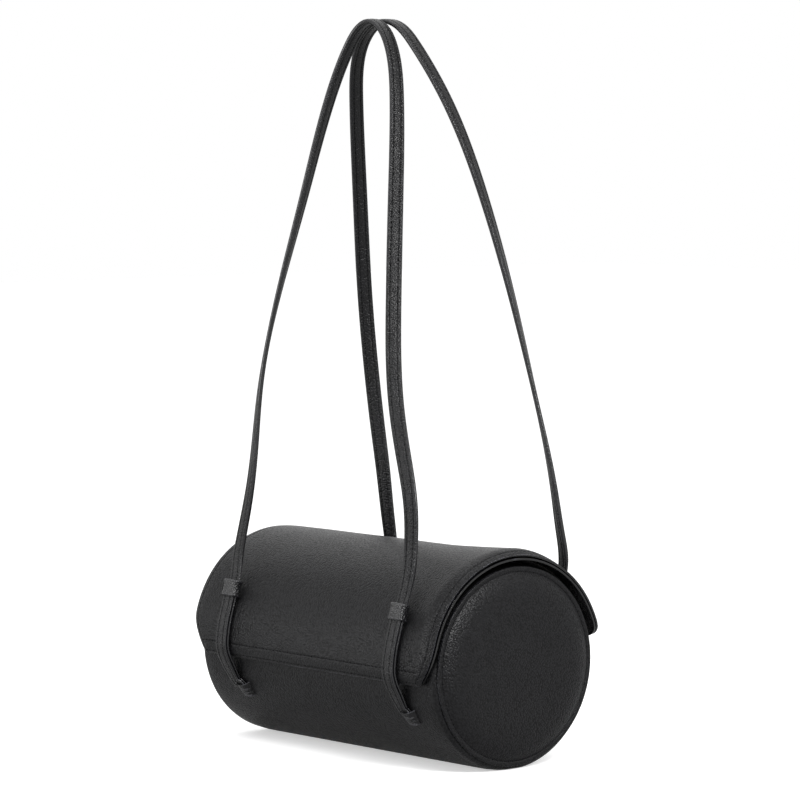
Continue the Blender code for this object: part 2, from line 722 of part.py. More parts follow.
def build_strap(face, word, pivot):
    """One strap from tail to tail, with its two keepers."""
    left, left_thicknesses, left_hints = strap_end(face, -1)
    right, right_thicknesses, right_hints = strap_end(face, 1)
    lean = TOP_LEAN_SHARES[0 if face < 0 else 1] * STRAP_LEAN
    depth = TOP_DEPTH_SHARE * abs(on_barrel(0, KEEPER_RADIUS, KEEPER_ANGLE).y)
    top = Vector((-lean, face * depth, STRAP_HEIGHT - STRAP_THICKNESS / 2))
    knots = left[-2:] + leg_knots(face, -1) + [top] + leg_knots(face, 1)[::-1] + right[:-3:-1]
    loop = smooth_path(knots, LOOP_STEPS)
    loop = [point for point in loop if point.z > left[-1].z + STRAP_THICKNESS]
    middle = len(loop) // 2
    loop_hints = [across_at(point, face, -1 if i < middle else 1) for i, point in enumerate(loop)]
    stations = frames(left + loop + right[::-1], left_hints + loop_hints + right_hints[::-1])
    thicknesses = left_thicknesses + [STRAP_THICKNESS] * len(loop) + right_thicknesses[::-1]
    strap = ribbon_mesh(stations, STRAP_WIDTH, thicknesses, STRAP_EDGE)
    add_piece("strap_" + word, strap, "smooth_leather", pivot)

    half_turn = KEEPER_LENGTH / 2 / KEEPER_RADIUS
    for side, hand in ((-1, "left"), (1, "right")):
        x = side * STRAP_SPACING / 2
        points = [stack_point(face, KEEPER_ANGLE + half_turn * step, 0, x) for step in (-1, 0, 1)]
        keeper = sleeve_mesh(
            frames(points, [Vector((1, 0, 0))] * len(points)),
            STRAP_WIDTH + 2 * LAYER_GAP,
            STACK_THICKNESS + 2 * LAYER_GAP,
            STRAP_EDGE,
            KEEPER_WALL,
        )
        add_piece("keeper_" + word + "_" + hand, keeper, "smooth_leather", pivot)


def build_anchors():
    """The four leather tabs on the barrel, just under the straps' folds."""
    start = FOLD_ANGLE - (FOLD_THICKNESS / 2 + 2 * LAYER_GAP) / BARREL_RADIUS
    span = ANCHOR_LENGTH / BARREL_RADIUS
    thicknesses = [ANCHOR_THICKNESS + (ANCHOR_TOE - ANCHOR_THICKNESS) * step / 3 for step in range(4)]
    for face, word in ((-1, "front"), (1, "back")):
        for side, hand in ((-1, "left"), (1, "right")):
            points = []
            for step, thickness in enumerate(thicknesses):
                radius = BARREL_RADIUS + LAYER_GAP + thickness / 2
                point = on_barrel(side * STRAP_SPACING / 2, radius, start - span * step / 3)
                points.append(Vector((point.x, -face * point.y, point.z)))
            stations = frames(points, [Vector((1, 0, 0))] * len(points))
            tab = ribbon_mesh(stations, ANCHOR_WIDTH, thicknesses, STRAP_EDGE)
            add_piece("strap_anchor_" + word + "_" + hand, tab, "smooth_leather")


flap_pivot = add_pivot("flap_hinge", on_barrel(0, FLAP_HINGE_RADIUS, FLAP_BACK_ANGLE))
fold_centre = on_barrel(0, FOLD_RADIUS, FOLD_ANGLE)
front_pivot = add_pivot("strap_front_hinge", fold_centre)
back_pivot = add_pivot("strap_back_hinge", Vector((0, -fold_centre.y, fold_centre.z)))

holes = build_magnets(flap_pivot)
build_barrel(holes["barrel"])
build_ends()
build_flap(flap_pivot, holes["flap"])
build_anchors()
build_strap(-1, "front", front_pivot)
build_strap(1, "back", back_pivot)
print("flap hinge", [round(value, 5) for value in flap_pivot.location])
print("strap hinges", [round(value, 5) for value in front_pivot.location])
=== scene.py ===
import math
import bmesh
import bpy
import numpy as np
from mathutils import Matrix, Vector


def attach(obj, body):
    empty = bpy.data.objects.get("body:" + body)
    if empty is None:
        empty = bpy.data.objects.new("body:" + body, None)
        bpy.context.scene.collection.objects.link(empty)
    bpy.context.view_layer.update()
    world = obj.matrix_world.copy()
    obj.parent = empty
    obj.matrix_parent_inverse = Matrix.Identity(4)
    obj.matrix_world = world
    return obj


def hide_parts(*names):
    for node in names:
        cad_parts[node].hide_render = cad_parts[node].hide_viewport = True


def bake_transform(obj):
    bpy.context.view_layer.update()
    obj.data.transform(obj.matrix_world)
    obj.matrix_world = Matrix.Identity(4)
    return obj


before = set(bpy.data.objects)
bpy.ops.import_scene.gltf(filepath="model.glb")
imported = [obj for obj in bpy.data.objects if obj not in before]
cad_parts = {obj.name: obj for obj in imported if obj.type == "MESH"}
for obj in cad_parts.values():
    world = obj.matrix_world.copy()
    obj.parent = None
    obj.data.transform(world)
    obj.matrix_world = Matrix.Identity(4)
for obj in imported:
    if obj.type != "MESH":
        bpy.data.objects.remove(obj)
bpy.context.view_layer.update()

mm = 0.001
hands = ((-1, "Left"), (1, "Right"))
faces = ((-1, "Front"), (1, "Back"))
print("frame loaded")


def linkNew(name, data):
    made = bpy.data.objects.new(name, data)
    bpy.context.collection.objects.link(made)
    return made


def aimFrom(thing, place, target):
    thing.location = place
    thing.rotation_euler = (Vector(target) - Vector(place)).to_track_quat("-Z", "Y").to_euler()


# the photograph's view
view = {
    "from": (1.9722, -1.7244, 0.4246),
    "at": (0.005535, 0, 0.233331),
    "lens": 177.63,
    "sensor": 36,
    "clip": (0.1, 50),
}
cameraData = bpy.data.cameras.new("photoView")
cameraData.lens = view["lens"]
cameraData.sensor_width = view["sensor"]
cameraData.clip_start, cameraData.clip_end = view["clip"]
camera = linkNew("photoView", cameraData)
aimFrom(camera, view["from"], view["at"])
bpy.context.scene.camera = camera
print("camera placed")


def leaveEdit():
    bpy.ops.object.mode_set(mode="OBJECT")


def deselectAll():
    if bpy.context.object is not None and bpy.context.object.mode != "OBJECT":
        leaveEdit()
    bpy.ops.object.select_all(action="DESELECT")


def takeUp(piece):
    deselectAll()
    piece.select_set(True)
    bpy.context.view_layer.objects.active = piece


def editWith(piece, test=None, kind="VERT"):
    # edit mode, with all of it selected, or only what passes the test
    takeUp(piece)
    bpy.ops.object.mode_set(mode="EDIT")
    bpy.ops.mesh.select_mode(type=kind)
    bpy.ops.mesh.select_all(action="DESELECT")
    shape = bmesh.from_edit_mesh(piece.data)
    for part in {"VERT": shape.verts, "EDGE": shape.edges, "FACE": shape.faces}[kind]:
        part.select_set(test is None or bool(test(part)))
    shape.select_flush_mode()
    bmesh.update_edit_mesh(piece.data)


def stretch(piece, value, test=None, centre=(0, 0, 0)):
    editWith(piece, test)
    bpy.ops.transform.resize(value=value, center_override=centre)
    leaveEdit()


def lift(piece, height):
    editWith(piece)
    bpy.ops.transform.translate(value=(0, 0, height))
    leaveEdit()


def finishEdit(piece, merge=0.01 * mm):
    editWith(piece)
    bpy.ops.mesh.remove_doubles(threshold=merge)
    bpy.ops.mesh.normals_make_consistent(inside=False)
    leaveEdit()


def mirrorAcross(piece):
    stretch(piece, (-1, 1, 1))
    finishEdit(piece)


def faceOut(piece, out):
    if piece.data.polygons[len(piece.data.polygons) // 2].normal.dot(out) < 0:
        editWith(piece, None, "FACE")
        bpy.ops.mesh.flip_normals()
        leaveEdit()


def useModifier(piece, kind, **settings):
    takeUp(piece)
    made = piece.modifiers.new(kind.lower(), kind)
    for key, value in settings.items():
        setattr(made, key, value)
    bpy.ops.object.modifier_apply(modifier=made.name)


def clamp(share):
    return min(max(share, 0), 1)


def ease(share):
    return clamp(share) ** 2 * (3 - 2 * clamp(share))


def mix(low, high, share):
    return low + (high - low) * share


# a flat cut grid, with each corner laid where place(row, column) says, and its UV map in metres
def laySheet(name, rowCount, columnCount, place, along=None, across=None):
    deselectAll()
    bpy.ops.mesh.primitive_grid_add(x_subdivisions=columnCount - 1, y_subdivisions=rowCount - 1, size=2)
    piece = bpy.context.object
    piece.name = name
    mesh = piece.data
    spots = [
        (round((v.co.y + 1) / 2 * (rowCount - 1)), round((v.co.x + 1) / 2 * (columnCount - 1)))
        for v in mesh.vertices
    ]
    for vertex, (row, column) in zip(mesh.vertices, spots):
        vertex.co = place(row, column)
    if along is not None:
        layer = mesh.uv_layers.active
        for loop in mesh.loops:
            row, column = spots[loop.vertex_index]
            layer.data[loop.index].uv = (across[column], along[row])
    return piece


# the barrel's own shape; angles run round it from the front: 0 front, 90 crown, 180 back
barrel = {
    "length": 238 * mm,
    "radius": 70 * mm,
    "crownShare": 0.972,  # it has settled into a low oval
    "bellyShare": 0.9506,
    "baseHalf": 14 * mm,
    "drawIn": 1.4 * mm,
    "drawLength": 14 * mm,
    "leather": 1.4 * mm,
    "shoulder": 2.6 * mm,
    "turnIn": 8 * mm,
    "endGap": 1.7 * mm,
    "steps": 144,
    "mouthLength": 200 * mm,
    "mouthWidth": 100 * mm,
    "mouthCorner": 16 * mm,
    "unevenness": 0.7 * mm,
    "farReach": 2 * mm,  # how much more the far end stands out than the near one
    "farStart": 103 * mm,
    "farRun": 14 * mm,  # it comes in over this length
    "farRise": 20 * mm,  # and, on the flap, over this height
    "farFlapFoot": 66 * mm,  # the flap's far end starts to stand out at this height
    "flapShade": {"degrees": (3, 168), "from": 110 * mm},  # where the wrap's end is painted dead black under the flap, as painted shade
}
centreHeight = barrel["bellyShare"] * math.sqrt(barrel["radius"] ** 2 - barrel["baseHalf"] ** 2)


def settledShare(angle):
    return barrel["crownShare"] if math.sin(angle) > 0 else barrel["bellyShare"]


def onBarrel(x, radius, angle):
    z = centreHeight + settledShare(angle) * radius * math.sin(angle)
    return Vector((x, -radius * math.cos(angle), max(z, barrel["radius"] - radius)))


def awayFromBarrel(angle):
    return Vector((0, -math.cos(angle) * settledShare(angle), math.sin(angle))).normalized()


def drawnRadius(x, radius):
    past = max(abs(x) - barrel["length"] / 2 + barrel["drawLength"], 0) / barrel["drawLength"]
    return radius * (1 - barrel["drawIn"] / barrel["radius"] * past ** 2)


def toLinear(code):
    values = [int(code[i : i + 2], 16) / 255 for i in (1, 3, 5)]
    return (*[v / 12.92 if v <= 0.04045 else ((v + 0.055) / 1.055) ** 2.4 for v in values], 1)


def feed(node, inputs):
    # each input takes a number, a colour or an output; a node stands for its first output
    for key, value in inputs.items():
        if isinstance(value, bpy.types.Node):
            value = value.outputs[0]
        if isinstance(value, bpy.types.NodeSocket):
            node.id_data.links.new(value, node.inputs[key])
        else:
            node.inputs[key].default_value = value


def addNode(tree, kind, inputs=None, **settings):
    made = tree.nodes.new("ShaderNode" + kind)
    for key, value in settings.items():
        setattr(made, key, value)
    feed(made, inputs or {})
    return made


def startMaterial(name):
    material = bpy.data.materials.new(name)
    material.use_nodes = True
    return material, material.node_tree, material.node_tree.nodes["Principled BSDF"]


def setRamp(ramp, finish, *places):
    for point, place, key in zip(ramp.color_ramp.elements, places, ("dark", "light")):
        point.position = place
        point.color = toLinear(finish[key])
    return ramp


# Black drum-dyed calf with an embossed pebble: broad soft sheen that breaks into glints on the curves
pebbledFinish = {
    "paintedCreviceShade": "#0a0a0b",
    "dark": "#0f0f11",
    "light": "#151517",
    "wearAndEdgeHighlight": "#4a4a50",
    # painted shade for the wrap's end under the flap
    "paintedShade": "#030303",
    "grain": 1.2 * mm,
    "drift": (4 * mm, 0.5 * mm),  # the pebbles' rows wander: over this length, by this much
    "pore": 0.45 * mm,
    "poreNoise": (3.0, 0.6),  # detail, roughness
    "poreDepth": 0.06,
    "patch": 22 * mm,
    "edgeWearAndHighlight": (0.62, 0.9),  # pointiness at which an edge is fully lightened, and how far: partly wear, partly painted highlight
    "sunk": (0.3, 0.62),  # how far from a pebble's middle the painted crevice shade starts, and is full
    "roughness": (0.29, 0.39),
    "specular": (0.2, 0.14),
    "paintedShadeSpecular": 0.01,
    "bumpStrength": 0.8,
    "bumpDepth": 0.43 * mm,
}
# The same hide, skived and plated for straps and trims: tighter grain and a little more shine
smoothFinish = {
    "dark": "#09090a",
    "light": "#0f0f11",
    "wearAndEdgeHighlight": "#46464b",
    "grain": 1.1 * mm,
    "pore": 0.3 * mm,
    "poreNoise": (2.0, 0.5),
    "poreDepth": 0.12,
    "patch": 12 * mm,
    "edgeWearAndHighlight": (0.64, 0.6),
    "roughness": (0.26, 0.34),
    "specular": 0.25,
    "bumpStrength": 0.7,
    "bumpDepth": 0.6 * mm,
}


def grainBump(tree, finish, spot, grainSpot):
    # domes parted by creases, with pores pricked in them
    cells = addNode(tree, "TexVoronoi", {
        "Vector": grainSpot, "Scale": 1 / finish["grain"], "Smoothness": 0.15}, feature="SMOOTH_F1")
    domes = addNode(tree, "Math", {0: cells, 1: 2.0}, operation="POWER")
    detail, roughness = finish["poreNoise"]
    pores = addNode(tree, "TexNoise", {
        "Vector": spot, "Scale": 1 / finish["pore"], "Detail": detail, "Roughness": roughness})
    height = addNode(tree, "Math", {0: pores, 1: -finish["poreDepth"], 2: domes}, operation="MULTIPLY_ADD")
    bump = addNode(tree, "Bump", {
        "Strength": finish["bumpStrength"], "Distance": finish["bumpDepth"], "Height": height}, invert=True)
    return cells, bump


def wearAndEdgeHighlightTone(tree, finish, spot):
    # the dye varies in patches, and raised edges are paler: partly wear, partly painted highlight
    patches = addNode(tree, "TexNoise", {"Vector": spot, "Scale": 1 / finish["patch"], "Detail": 3.0})
    tone = setRamp(addNode(tree, "ValToRGB", {"Fac": patches}), finish, 0.3, 0.7)
    fullAt, most = finish["edgeWearAndHighlight"]
    edgeWearAndHighlight = addNode(tree, "MapRange", {
        "Value": addNode(tree, "NewGeometry").outputs["Pointiness"],
        "From Min": 0.53, "From Max": fullAt, "To Max": most})
    colour = addNode(tree, "Mix", {
        "Factor": edgeWearAndHighlight, 6: tone, 7: toLinear(finish["wearAndEdgeHighlight"])}, data_type="RGBA")
    return patches, colour.outputs[2]


def makePebbledLeather():
    finish = pebbledFinish
    material, tree, shader = startMaterial("pebbledBlackLeather")
    spot = addNode(tree, "TexCoord").outputs["Object"]
    driftSize, driftBy = finish["drift"]
    drift = addNode(tree, "TexNoise", {"Vector": spot, "Scale": 1 / driftSize, "Detail": 2.0})
    bent = addNode(tree, "VectorMath", {
        0: drift.outputs["Color"], 1: (driftBy,) * 3, 2: spot}, operation="MULTIPLY_ADD")
    pebbles, bump = grainBump(tree, finish, spot, bent)
    patches, colour = wearAndEdgeHighlightTone(tree, finish, spot)
    # painted shade: the crevices between the pebbles get a darker colour and a lower specular level; their
    # rougher finish is the leather's own
    sunk = addNode(tree, "MapRange", {
        "Value": pebbles, "From Min": finish["sunk"][0], "From Max": finish["sunk"][1]})
    shaded = addNode(tree, "Mix", {
        "Factor": sunk, 6: colour, 7: toLinear(finish["paintedCreviceShade"])}, data_type="RGBA")
    gloss, sheen = [
        addNode(tree, "MapRange", {"Value": sunk, "To Min": finish[key][0], "To Max": finish[key][1]})
        for key in ("roughness", "specular")
    ]
    # where the wrap's end turns in under the flap, its colour and sheen are painted dead black: painted shade
    # for the hollow the flap hangs over
    under = addNode(tree, "Attribute", attribute_name="paintedShadeUnderFlap").outputs["Fac"]
    paintedShade = addNode(tree, "Mix", {
        "Factor": under, 6: shaded.outputs[2], 7: toLinear(finish["paintedShade"])}, data_type="RGBA")
    paintedShadeSheen = addNode(tree, "Mix", {0: under, 2: sheen, 3: finish["paintedShadeSpecular"]})
    feed(shader, {
        "Base Color": paintedShade.outputs[2], "Roughness": gloss, "Specular IOR Level": paintedShadeSheen, "Normal": bump})
    return material


def makeSmoothLeather(name, finish, seed=0.0):
    material, tree, shader = startMaterial(name)
    spot = addNode(tree, "TexCoord").outputs["Object"]
    moved = addNode(tree, "Mapping", {"Vector": spot, "Location": (seed, seed, 0)})
    bump = grainBump(tree, finish, moved, moved)[1]
    patches, colour = wearAndEdgeHighlightTone(tree, finish, moved)
    gloss = addNode(tree, "MapRange", {
        "Value": patches, "From Min": 0.3, "From Max": 0.7,
        "To Min": finish["roughness"][0], "To Max": finish["roughness"][1]})
    feed(shader, {
        "Base Color": colour, "Roughness": gloss, "Specular IOR Level": finish["specular"], "Normal": bump})
    return material


# Bonded polyester sewing thread: hard, slightly shiny, with the twist showing as fine diagonal ribs
threadFinish = {"dark": "#050506", "light": "#101012", "twist": 0.5 * mm, "ribDepth": 0.05 * mm}


def makeThread():
    material, tree, shader = startMaterial("blackPolyesterThread")
    spot = addNode(tree, "TexCoord").outputs["Object"]
    twist = addNode(tree, "TexWave", {
        "Vector": spot, "Scale": 1 / threadFinish["twist"] / 6.28, "Distortion": 0.4},
        bands_direction="DIAGONAL").outputs["Fac"]
    bump = addNode(tree, "Bump", {"Strength": 0.5, "Distance": threadFinish["ribDepth"], "Height": twist})
    tone = setRamp(addNode(tree, "ValToRGB", {"Fac": twist}), threadFinish, 0.0, 1.0)
    feed(shader, {"Base Color": tone, "Normal": bump, "Roughness": 0.6, "Specular IOR Level": 0.12})
    return material


# A flat near-black disc at each end of a stitch: painted shade for the pricked hole the stitch goes down
# into, with a frayed rim
holeFinish = {"dark": "#010101", "light": "#0a0a0a", "fray": 0.3 * mm}


def makePaintedHoleShade():
    material, tree, shader = startMaterial("paintedHoleShade")
    spot = addNode(tree, "TexCoord").outputs["Object"]
    fray = addNode(tree, "TexNoise", {"Vector": spot, "Scale": 1 / holeFinish["fray"]})
    tone = setRamp(addNode(tree, "ValToRGB", {"Fac": fray}), holeFinish, 0.4, 0.8)
    feed(shader, {"Base Color": tone, "Roughness": 1.0, "Specular IOR Level": 0.0})
    return material


# Cotton twill lining: matt, with fine diagonal ribs
twillFinish = {
    "dark": "#131312", "light": "#232221", "rib": 0.9 * mm, "yarn": 0.5 * mm, "ribDepth": 0.15 * mm}


def makeTwill():
    material, tree, shader = startMaterial("blackTwillLining")
    spot = addNode(tree, "TexCoord").outputs["Object"]
    ribs = addNode(tree, "TexWave", {
        "Vector": spot, "Scale": 1 / twillFinish["rib"] / 6.28, "Distortion": 0.6, "Detail": 2.0},
        bands_direction="DIAGONAL")
    yarn = addNode(tree, "TexNoise", {"Vector": spot, "Scale": 1 / twillFinish["yarn"], "Detail": 2.0})
    height = addNode(tree, "Math", {0: yarn, 1: 0.4, 2: ribs.outputs["Fac"]}, operation="MULTIPLY_ADD")
    bump = addNode(tree, "Bump", {"Strength": 0.7, "Distance": twillFinish["ribDepth"], "Height": height})
    tone = setRamp(addNode(tree, "ValToRGB", {"Fac": height}), twillFinish, 0.2, 1.0)
    feed(shader, {
        "Base Color": tone, "Normal": bump, "Roughness": 0.9, "Sheen Weight": 0.25, "Sheen Roughness": 0.5})
    return material


# Pressed leather-fibre board, dyed through, as in bag stiffeners: dull black with short greyer fibres
boardFinish = {"dark": "#161514", "light": "#2b2927", "fibre": 1.2 * mm, "bumpDepth": 0.1 * mm}


def makeFibreBoard():
    material, tree, shader = startMaterial("blackFibreBoard")
    spot = addNode(tree, "TexCoord").outputs["Object"]
    fibres = addNode(tree, "TexNoise", {
        "Vector": spot, "Scale": 1 / boardFinish["fibre"], "Detail": 4.0, "Distortion": 1.5})
    tone = setRamp(addNode(tree, "ValToRGB", {"Fac": fibres}), boardFinish, 0.3, 0.7)
    bump = addNode(tree, "Bump", {"Strength": 0.5, "Distance": boardFinish["bumpDepth"], "Height": fibres})
    feed(shader, {"Base Color": tone, "Normal": bump, "Roughness": 0.9})
    return material


# Nickel-plated magnet: bright grey metal with fine turning marks and rubbed spots
nickelFinish = {"dark": "#b0aca4", "light": "#c9c6bf", "mark": 0.8 * mm, "roughness": (0.22, 0.42)}


def makeNickel():
    material, tree, shader = startMaterial("nickelPlatedMagnet")
    spot = addNode(tree, "TexCoord").outputs["Object"]
    marks = addNode(tree, "TexNoise", {
        "Vector": spot, "Scale": 1 / nickelFinish["mark"], "Detail": 3.0})
    low, high = nickelFinish["roughness"]
    gloss = addNode(tree, "MapRange", {
        "Value": marks, "From Min": 0.3, "From Max": 0.7, "To Min": low, "To Max": high})
    tone = setRamp(addNode(tree, "ValToRGB", {"Fac": marks}), nickelFinish, 0.3, 0.7)
    feed(shader, {"Base Color": tone, "Roughness": gloss, "Metallic": 1.0})
    return material


pebbledLeather = makePebbledLeather()
smoothLeather = makeSmoothLeather("smoothBlackLeather", smoothFinish)
# Edges painted with black edge dye and polished: darker and glossier than the grain side
edgeFinish = dict(smoothFinish, light="#101011", roughness=(0.22, 0.3), specular=0.45, bumpDepth=0.15 * mm)
edgePaint = makeSmoothLeather("blackEdgePaint", edgeFinish, seed=0.3)
# The keepers are rubbed by the strap and the hand, so they shine more than the strap
keeperFinish = dict(
    smoothFinish, dark="#08080a", light="#101012", wearAndEdgeHighlight="#3c3c40", roughness=(0.2, 0.26), specular=0.45)
keeperLeather = makeSmoothLeather("rubbedBlackLeather", keeperFinish, seed=0.7)
blackThread = makeThread()
paintedHoleShade = makePaintedHoleShade()
twillLining = makeTwill()
fibreBoard = makeFibreBoard()
nickelPlate = makeNickel()
for nodeName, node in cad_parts.items():
    finish = nickelPlate if "magnet" in nodeName else fibreBoard if "board" in nodeName else smoothLeather
    node.data.materials.clear()
    node.data.materials.append(finish)
print("materials made")


def settlePiece(piece, material, holder, slotName, node=None, degrees=50):
    # its holder is the body it is attached to; when the holder is two bodies and the stretch between them,
    # the piece is only baked where it lies
    takeUp(piece)
    bpy.ops.object.shade_smooth_by_angle(angle=math.radians(degrees))
    if not piece.data.materials:
        piece.data.materials.append(material)
    if isinstance(holder, str):
        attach(piece, holder)
    else:
        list(holder)
        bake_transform(piece)
    if node is not None:
        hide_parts(node)


def reachOut(piece, fromHeight=None, much=1.0):
    # the far end stands out a little more than the near one
    for vertex in piece.data.vertices:
        share = ease((-vertex.co.x - barrel["farStart"]) / barrel["farRun"])
        if fromHeight is not None:
            share *= ease((vertex.co.z - fromHeight) / barrel["farRise"])
        vertex.co.x -= barrel["farReach"] * much * share


# stitching: one stitch is shaped once and copied along each row, with a flat disc of painted shade for the
# hole it goes down into
thread = {
    "length": 2.5 * mm,
    "gap": 1.1 * mm,
    "thickness": 0.7 * mm,
    "flatness": 0.8,
    "sink": 0.02 * mm,
    "hole": 0.45 * mm,
    "holeLift": 0.12 * mm,
}
deselectAll()
bpy.ops.mesh.primitive_uv_sphere_add(segments=6, ring_count=4, radius=0.5, rotation=(0, math.radians(90), 0))
oneStitch = bpy.context.object
bpy.ops.object.transform_apply(location=True, rotation=True, scale=True)
stitchPoints = np.array([v.co for v in oneStitch.data.vertices])
stitchFaces = [list(p.vertices) for p in oneStitch.data.polygons]
bpy.data.objects.remove(oneStitch, do_unlink=True)


# rows are (points, normals); each row is walked in even steps, one stitch to a step
def sew(name, rows, holder, farFrom=None):
    verts = []
    meshFaces = []
    holes = []
    size = np.diag([thread["length"], thread["thickness"], thread["thickness"] * thread["flatness"]])
    for points, normals in rows:
        places = np.array([tuple(p) for p in points])
        ups = np.array([tuple(n) for n in normals])
        reach = np.concatenate(([0], np.cumsum(np.linalg.norm(np.diff(places, axis=0), axis=1))))
        count = max(int(round(reach[-1] / (thread["length"] + thread["gap"]))), 1)
        for i in range(count):
            middle = (i + 0.5) * reach[-1] / count
            ends = [middle - thread["length"] / 2, middle, middle + thread["length"] / 2]
            spots = np.array([[np.interp(e, reach, places[:, k]) for k in range(3)] for e in ends])
            up = np.array([np.interp(middle, reach, ups[:, k]) for k in range(3)])
            ahead = spots[2] - spots[0]
            ahead /= np.linalg.norm(ahead)
            side = np.cross(up, ahead)
            side /= np.linalg.norm(side)
            up = np.cross(ahead, side)
            turned = stitchPoints @ size @ np.array([ahead, side, up])
            base = len(verts)
            verts += (turned + spots[1] - up * thread["sink"]).tolist()
            meshFaces += [[base + j for j in face] for face in stitchFaces]
            base = len(verts)
            # a flat disc just above the leather, coloured as painted shade for the needle hole
            hole = spots[0] - ahead * thread["gap"] / 2 + up * thread["holeLift"]
            for j in range(6):
                turn = math.radians(60 * j)
                spoke = ahead * math.cos(turn) + side * math.sin(turn)
                verts.append((hole + spoke * thread["hole"]).tolist())
            meshFaces.append([base + j for j in range(6)])
            holes.append(len(meshFaces) - 1)
    mesh = bpy.data.meshes.new(name)
    mesh.from_pydata(verts, [], meshFaces)
    mesh.materials.append(blackThread)
    mesh.materials.append(paintedHoleShade)
    for i in holes:
        mesh.polygons[i].material_index = 1
    piece = linkNew(name, mesh)
    if farFrom is not None:
        reachOut(piece, farFrom)
    settlePiece(piece, blackThread, holder, "smooth_leather", degrees=80)
    return piece


def startDrawn(name, x, radius, steps, fill="NOTHING"):
    # a circle round the barrel's length, left in edit mode
    deselectAll()
    bpy.ops.mesh.primitive_circle_add(
        vertices=steps, radius=radius, fill_type=fill, location=(x, 0, 0), rotation=(0, math.radians(90), 0))
    piece = bpy.context.object
    piece.name = name
    bpy.ops.object.transform_apply(location=True, rotation=True, scale=True)
    bpy.ops.object.mode_set(mode="EDIT")
    bpy.ops.mesh.select_all(action="SELECT")
    return piece


def extrudeAlong(distance):
    bpy.ops.mesh.extrude_region_move(TRANSFORM_OT_translate={"value": (distance, 0, 0)})


def drawTube(name, stations, steps):
    # stations are (x, radius) round the wall's whole section, ending where they start
    piece = startDrawn(name, *stations[0], steps)
    for (x0, r0), (x1, r1) in zip(stations, stations[1:]):
        extrudeAlong(x1 - x0)
        if abs(r1 - r0) > 1e-7:
            bpy.ops.transform.resize(value=(1, r1 / r0, r1 / r0), center_override=(x1, 0, 0))
    finishEdit(piece)
    return piece


def settleOval(piece):
    # the crown and the belly sink into the oval
    stretch(piece, (1, 1, barrel["crownShare"]), lambda v: v.co.z > 1e-6)
    stretch(piece, (1, 1, barrel["bellyShare"]), lambda v: v.co.z < -1e-6)
    lift(piece, centreHeight)


def flattenBase(piece, low):
    stretch(piece, (1, 1, 0), lambda v: v.co.z < low, (0, 0, low))


def unevenSkin(piece, strength, weightAt, size=0.045):
    # a hide never lies quite true: a slow, shallow unevenness, held to nothing at seams and floor
    group = piece.vertex_groups.new(name="soft")
    for vertex in piece.data.vertices:
        group.add([vertex.index], clamp(weightAt(vertex.co)), "REPLACE")
    pattern = bpy.data.textures.new(piece.name + "Waves", "CLOUDS")
    pattern.noise_scale = size
    pattern.noise_depth = 1
    useModifier(
        piece, "DISPLACE", texture=pattern, strength=strength, mid_level=0.5,
        vertex_group="soft", texture_coords="LOCAL")
    piece.vertex_groups.clear()


def wallStations(half, outer, inner, shoulder, turnIn, spacing=7 * mm):
    # from the right end's turned-in edge, round the shoulder, along the outside to the left, and back inside
    quarter = [math.radians(d) for d in (90, 68, 45, 22, 0)]
    end = [(half, outer - turnIn)]
    end += [(half - shoulder * (1 - math.sin(t)), outer - shoulder * (1 - math.cos(t))) for t in quarter]
    run = int(round(2 * (half - shoulder) / spacing))
    flat = [(half - shoulder) * (1 - 2 * i / run) for i in range(1, run)]
    side = end + [(x, outer) for x in flat] + [(-x, r) for x, r in reversed(end)]
    wall = outer - inner
    inside = [(-half + wall, outer - turnIn), (-half + wall, inner)]
    count = run // 2
    inside += [(-(half - wall) * (1 - 2 * i / count), inner) for i in range(1, count)]
    inside += [(half - wall, inner), (half - wall, outer - turnIn)]
    return [(x, drawnRadius(x, r)) for x, r in side + inside + [side[0]]]


def cutMouth(piece):
    low, high = centreHeight, centreHeight + barrel["radius"] * 1.2
    deselectAll()
    bpy.ops.mesh.primitive_cube_add(size=1, location=(0, 0, (low + high) / 2))
    cutter = bpy.context.object
    cutter.scale = (barrel["mouthLength"], barrel["mouthWidth"], high - low)
    bpy.ops.object.transform_apply(location=True, rotation=False, scale=True)
    editWith(cutter, lambda e: abs(e.verts[0].co.z - e.verts[1].co.z) > mm, "EDGE")
    bpy.ops.mesh.bevel(offset=barrel["mouthCorner"], segments=8, affect="EDGES")
    leaveEdit()
    useModifier(piece, "BOOLEAN", operation="DIFFERENCE", object=cutter, solver="EXACT")
    bpy.data.objects.remove(cutter, do_unlink=True)


# barrel wrap: a ring drawn out along the barrel, then settled, cut open at the mouth
halfWrap = barrel["length"] / 2 - barrel["endGap"]
wrap = drawTube("barrelWrap", wallStations(
    halfWrap, barrel["radius"], barrel["radius"] - barrel["leather"], barrel["shoulder"], barrel["turnIn"],
), barrel["steps"])
settleOval(wrap)
flattenBase(wrap, 0)
unevenSkin(
    wrap, barrel["unevenness"],
    lambda p: ease((halfWrap - abs(p.x)) / (18 * mm)) * ease((p.z - 3 * mm) / (15 * mm))
    * ease((math.hypot(p.y, p.z - centreHeight) - 60 * mm) / mm),
)
cutMouth(wrap)
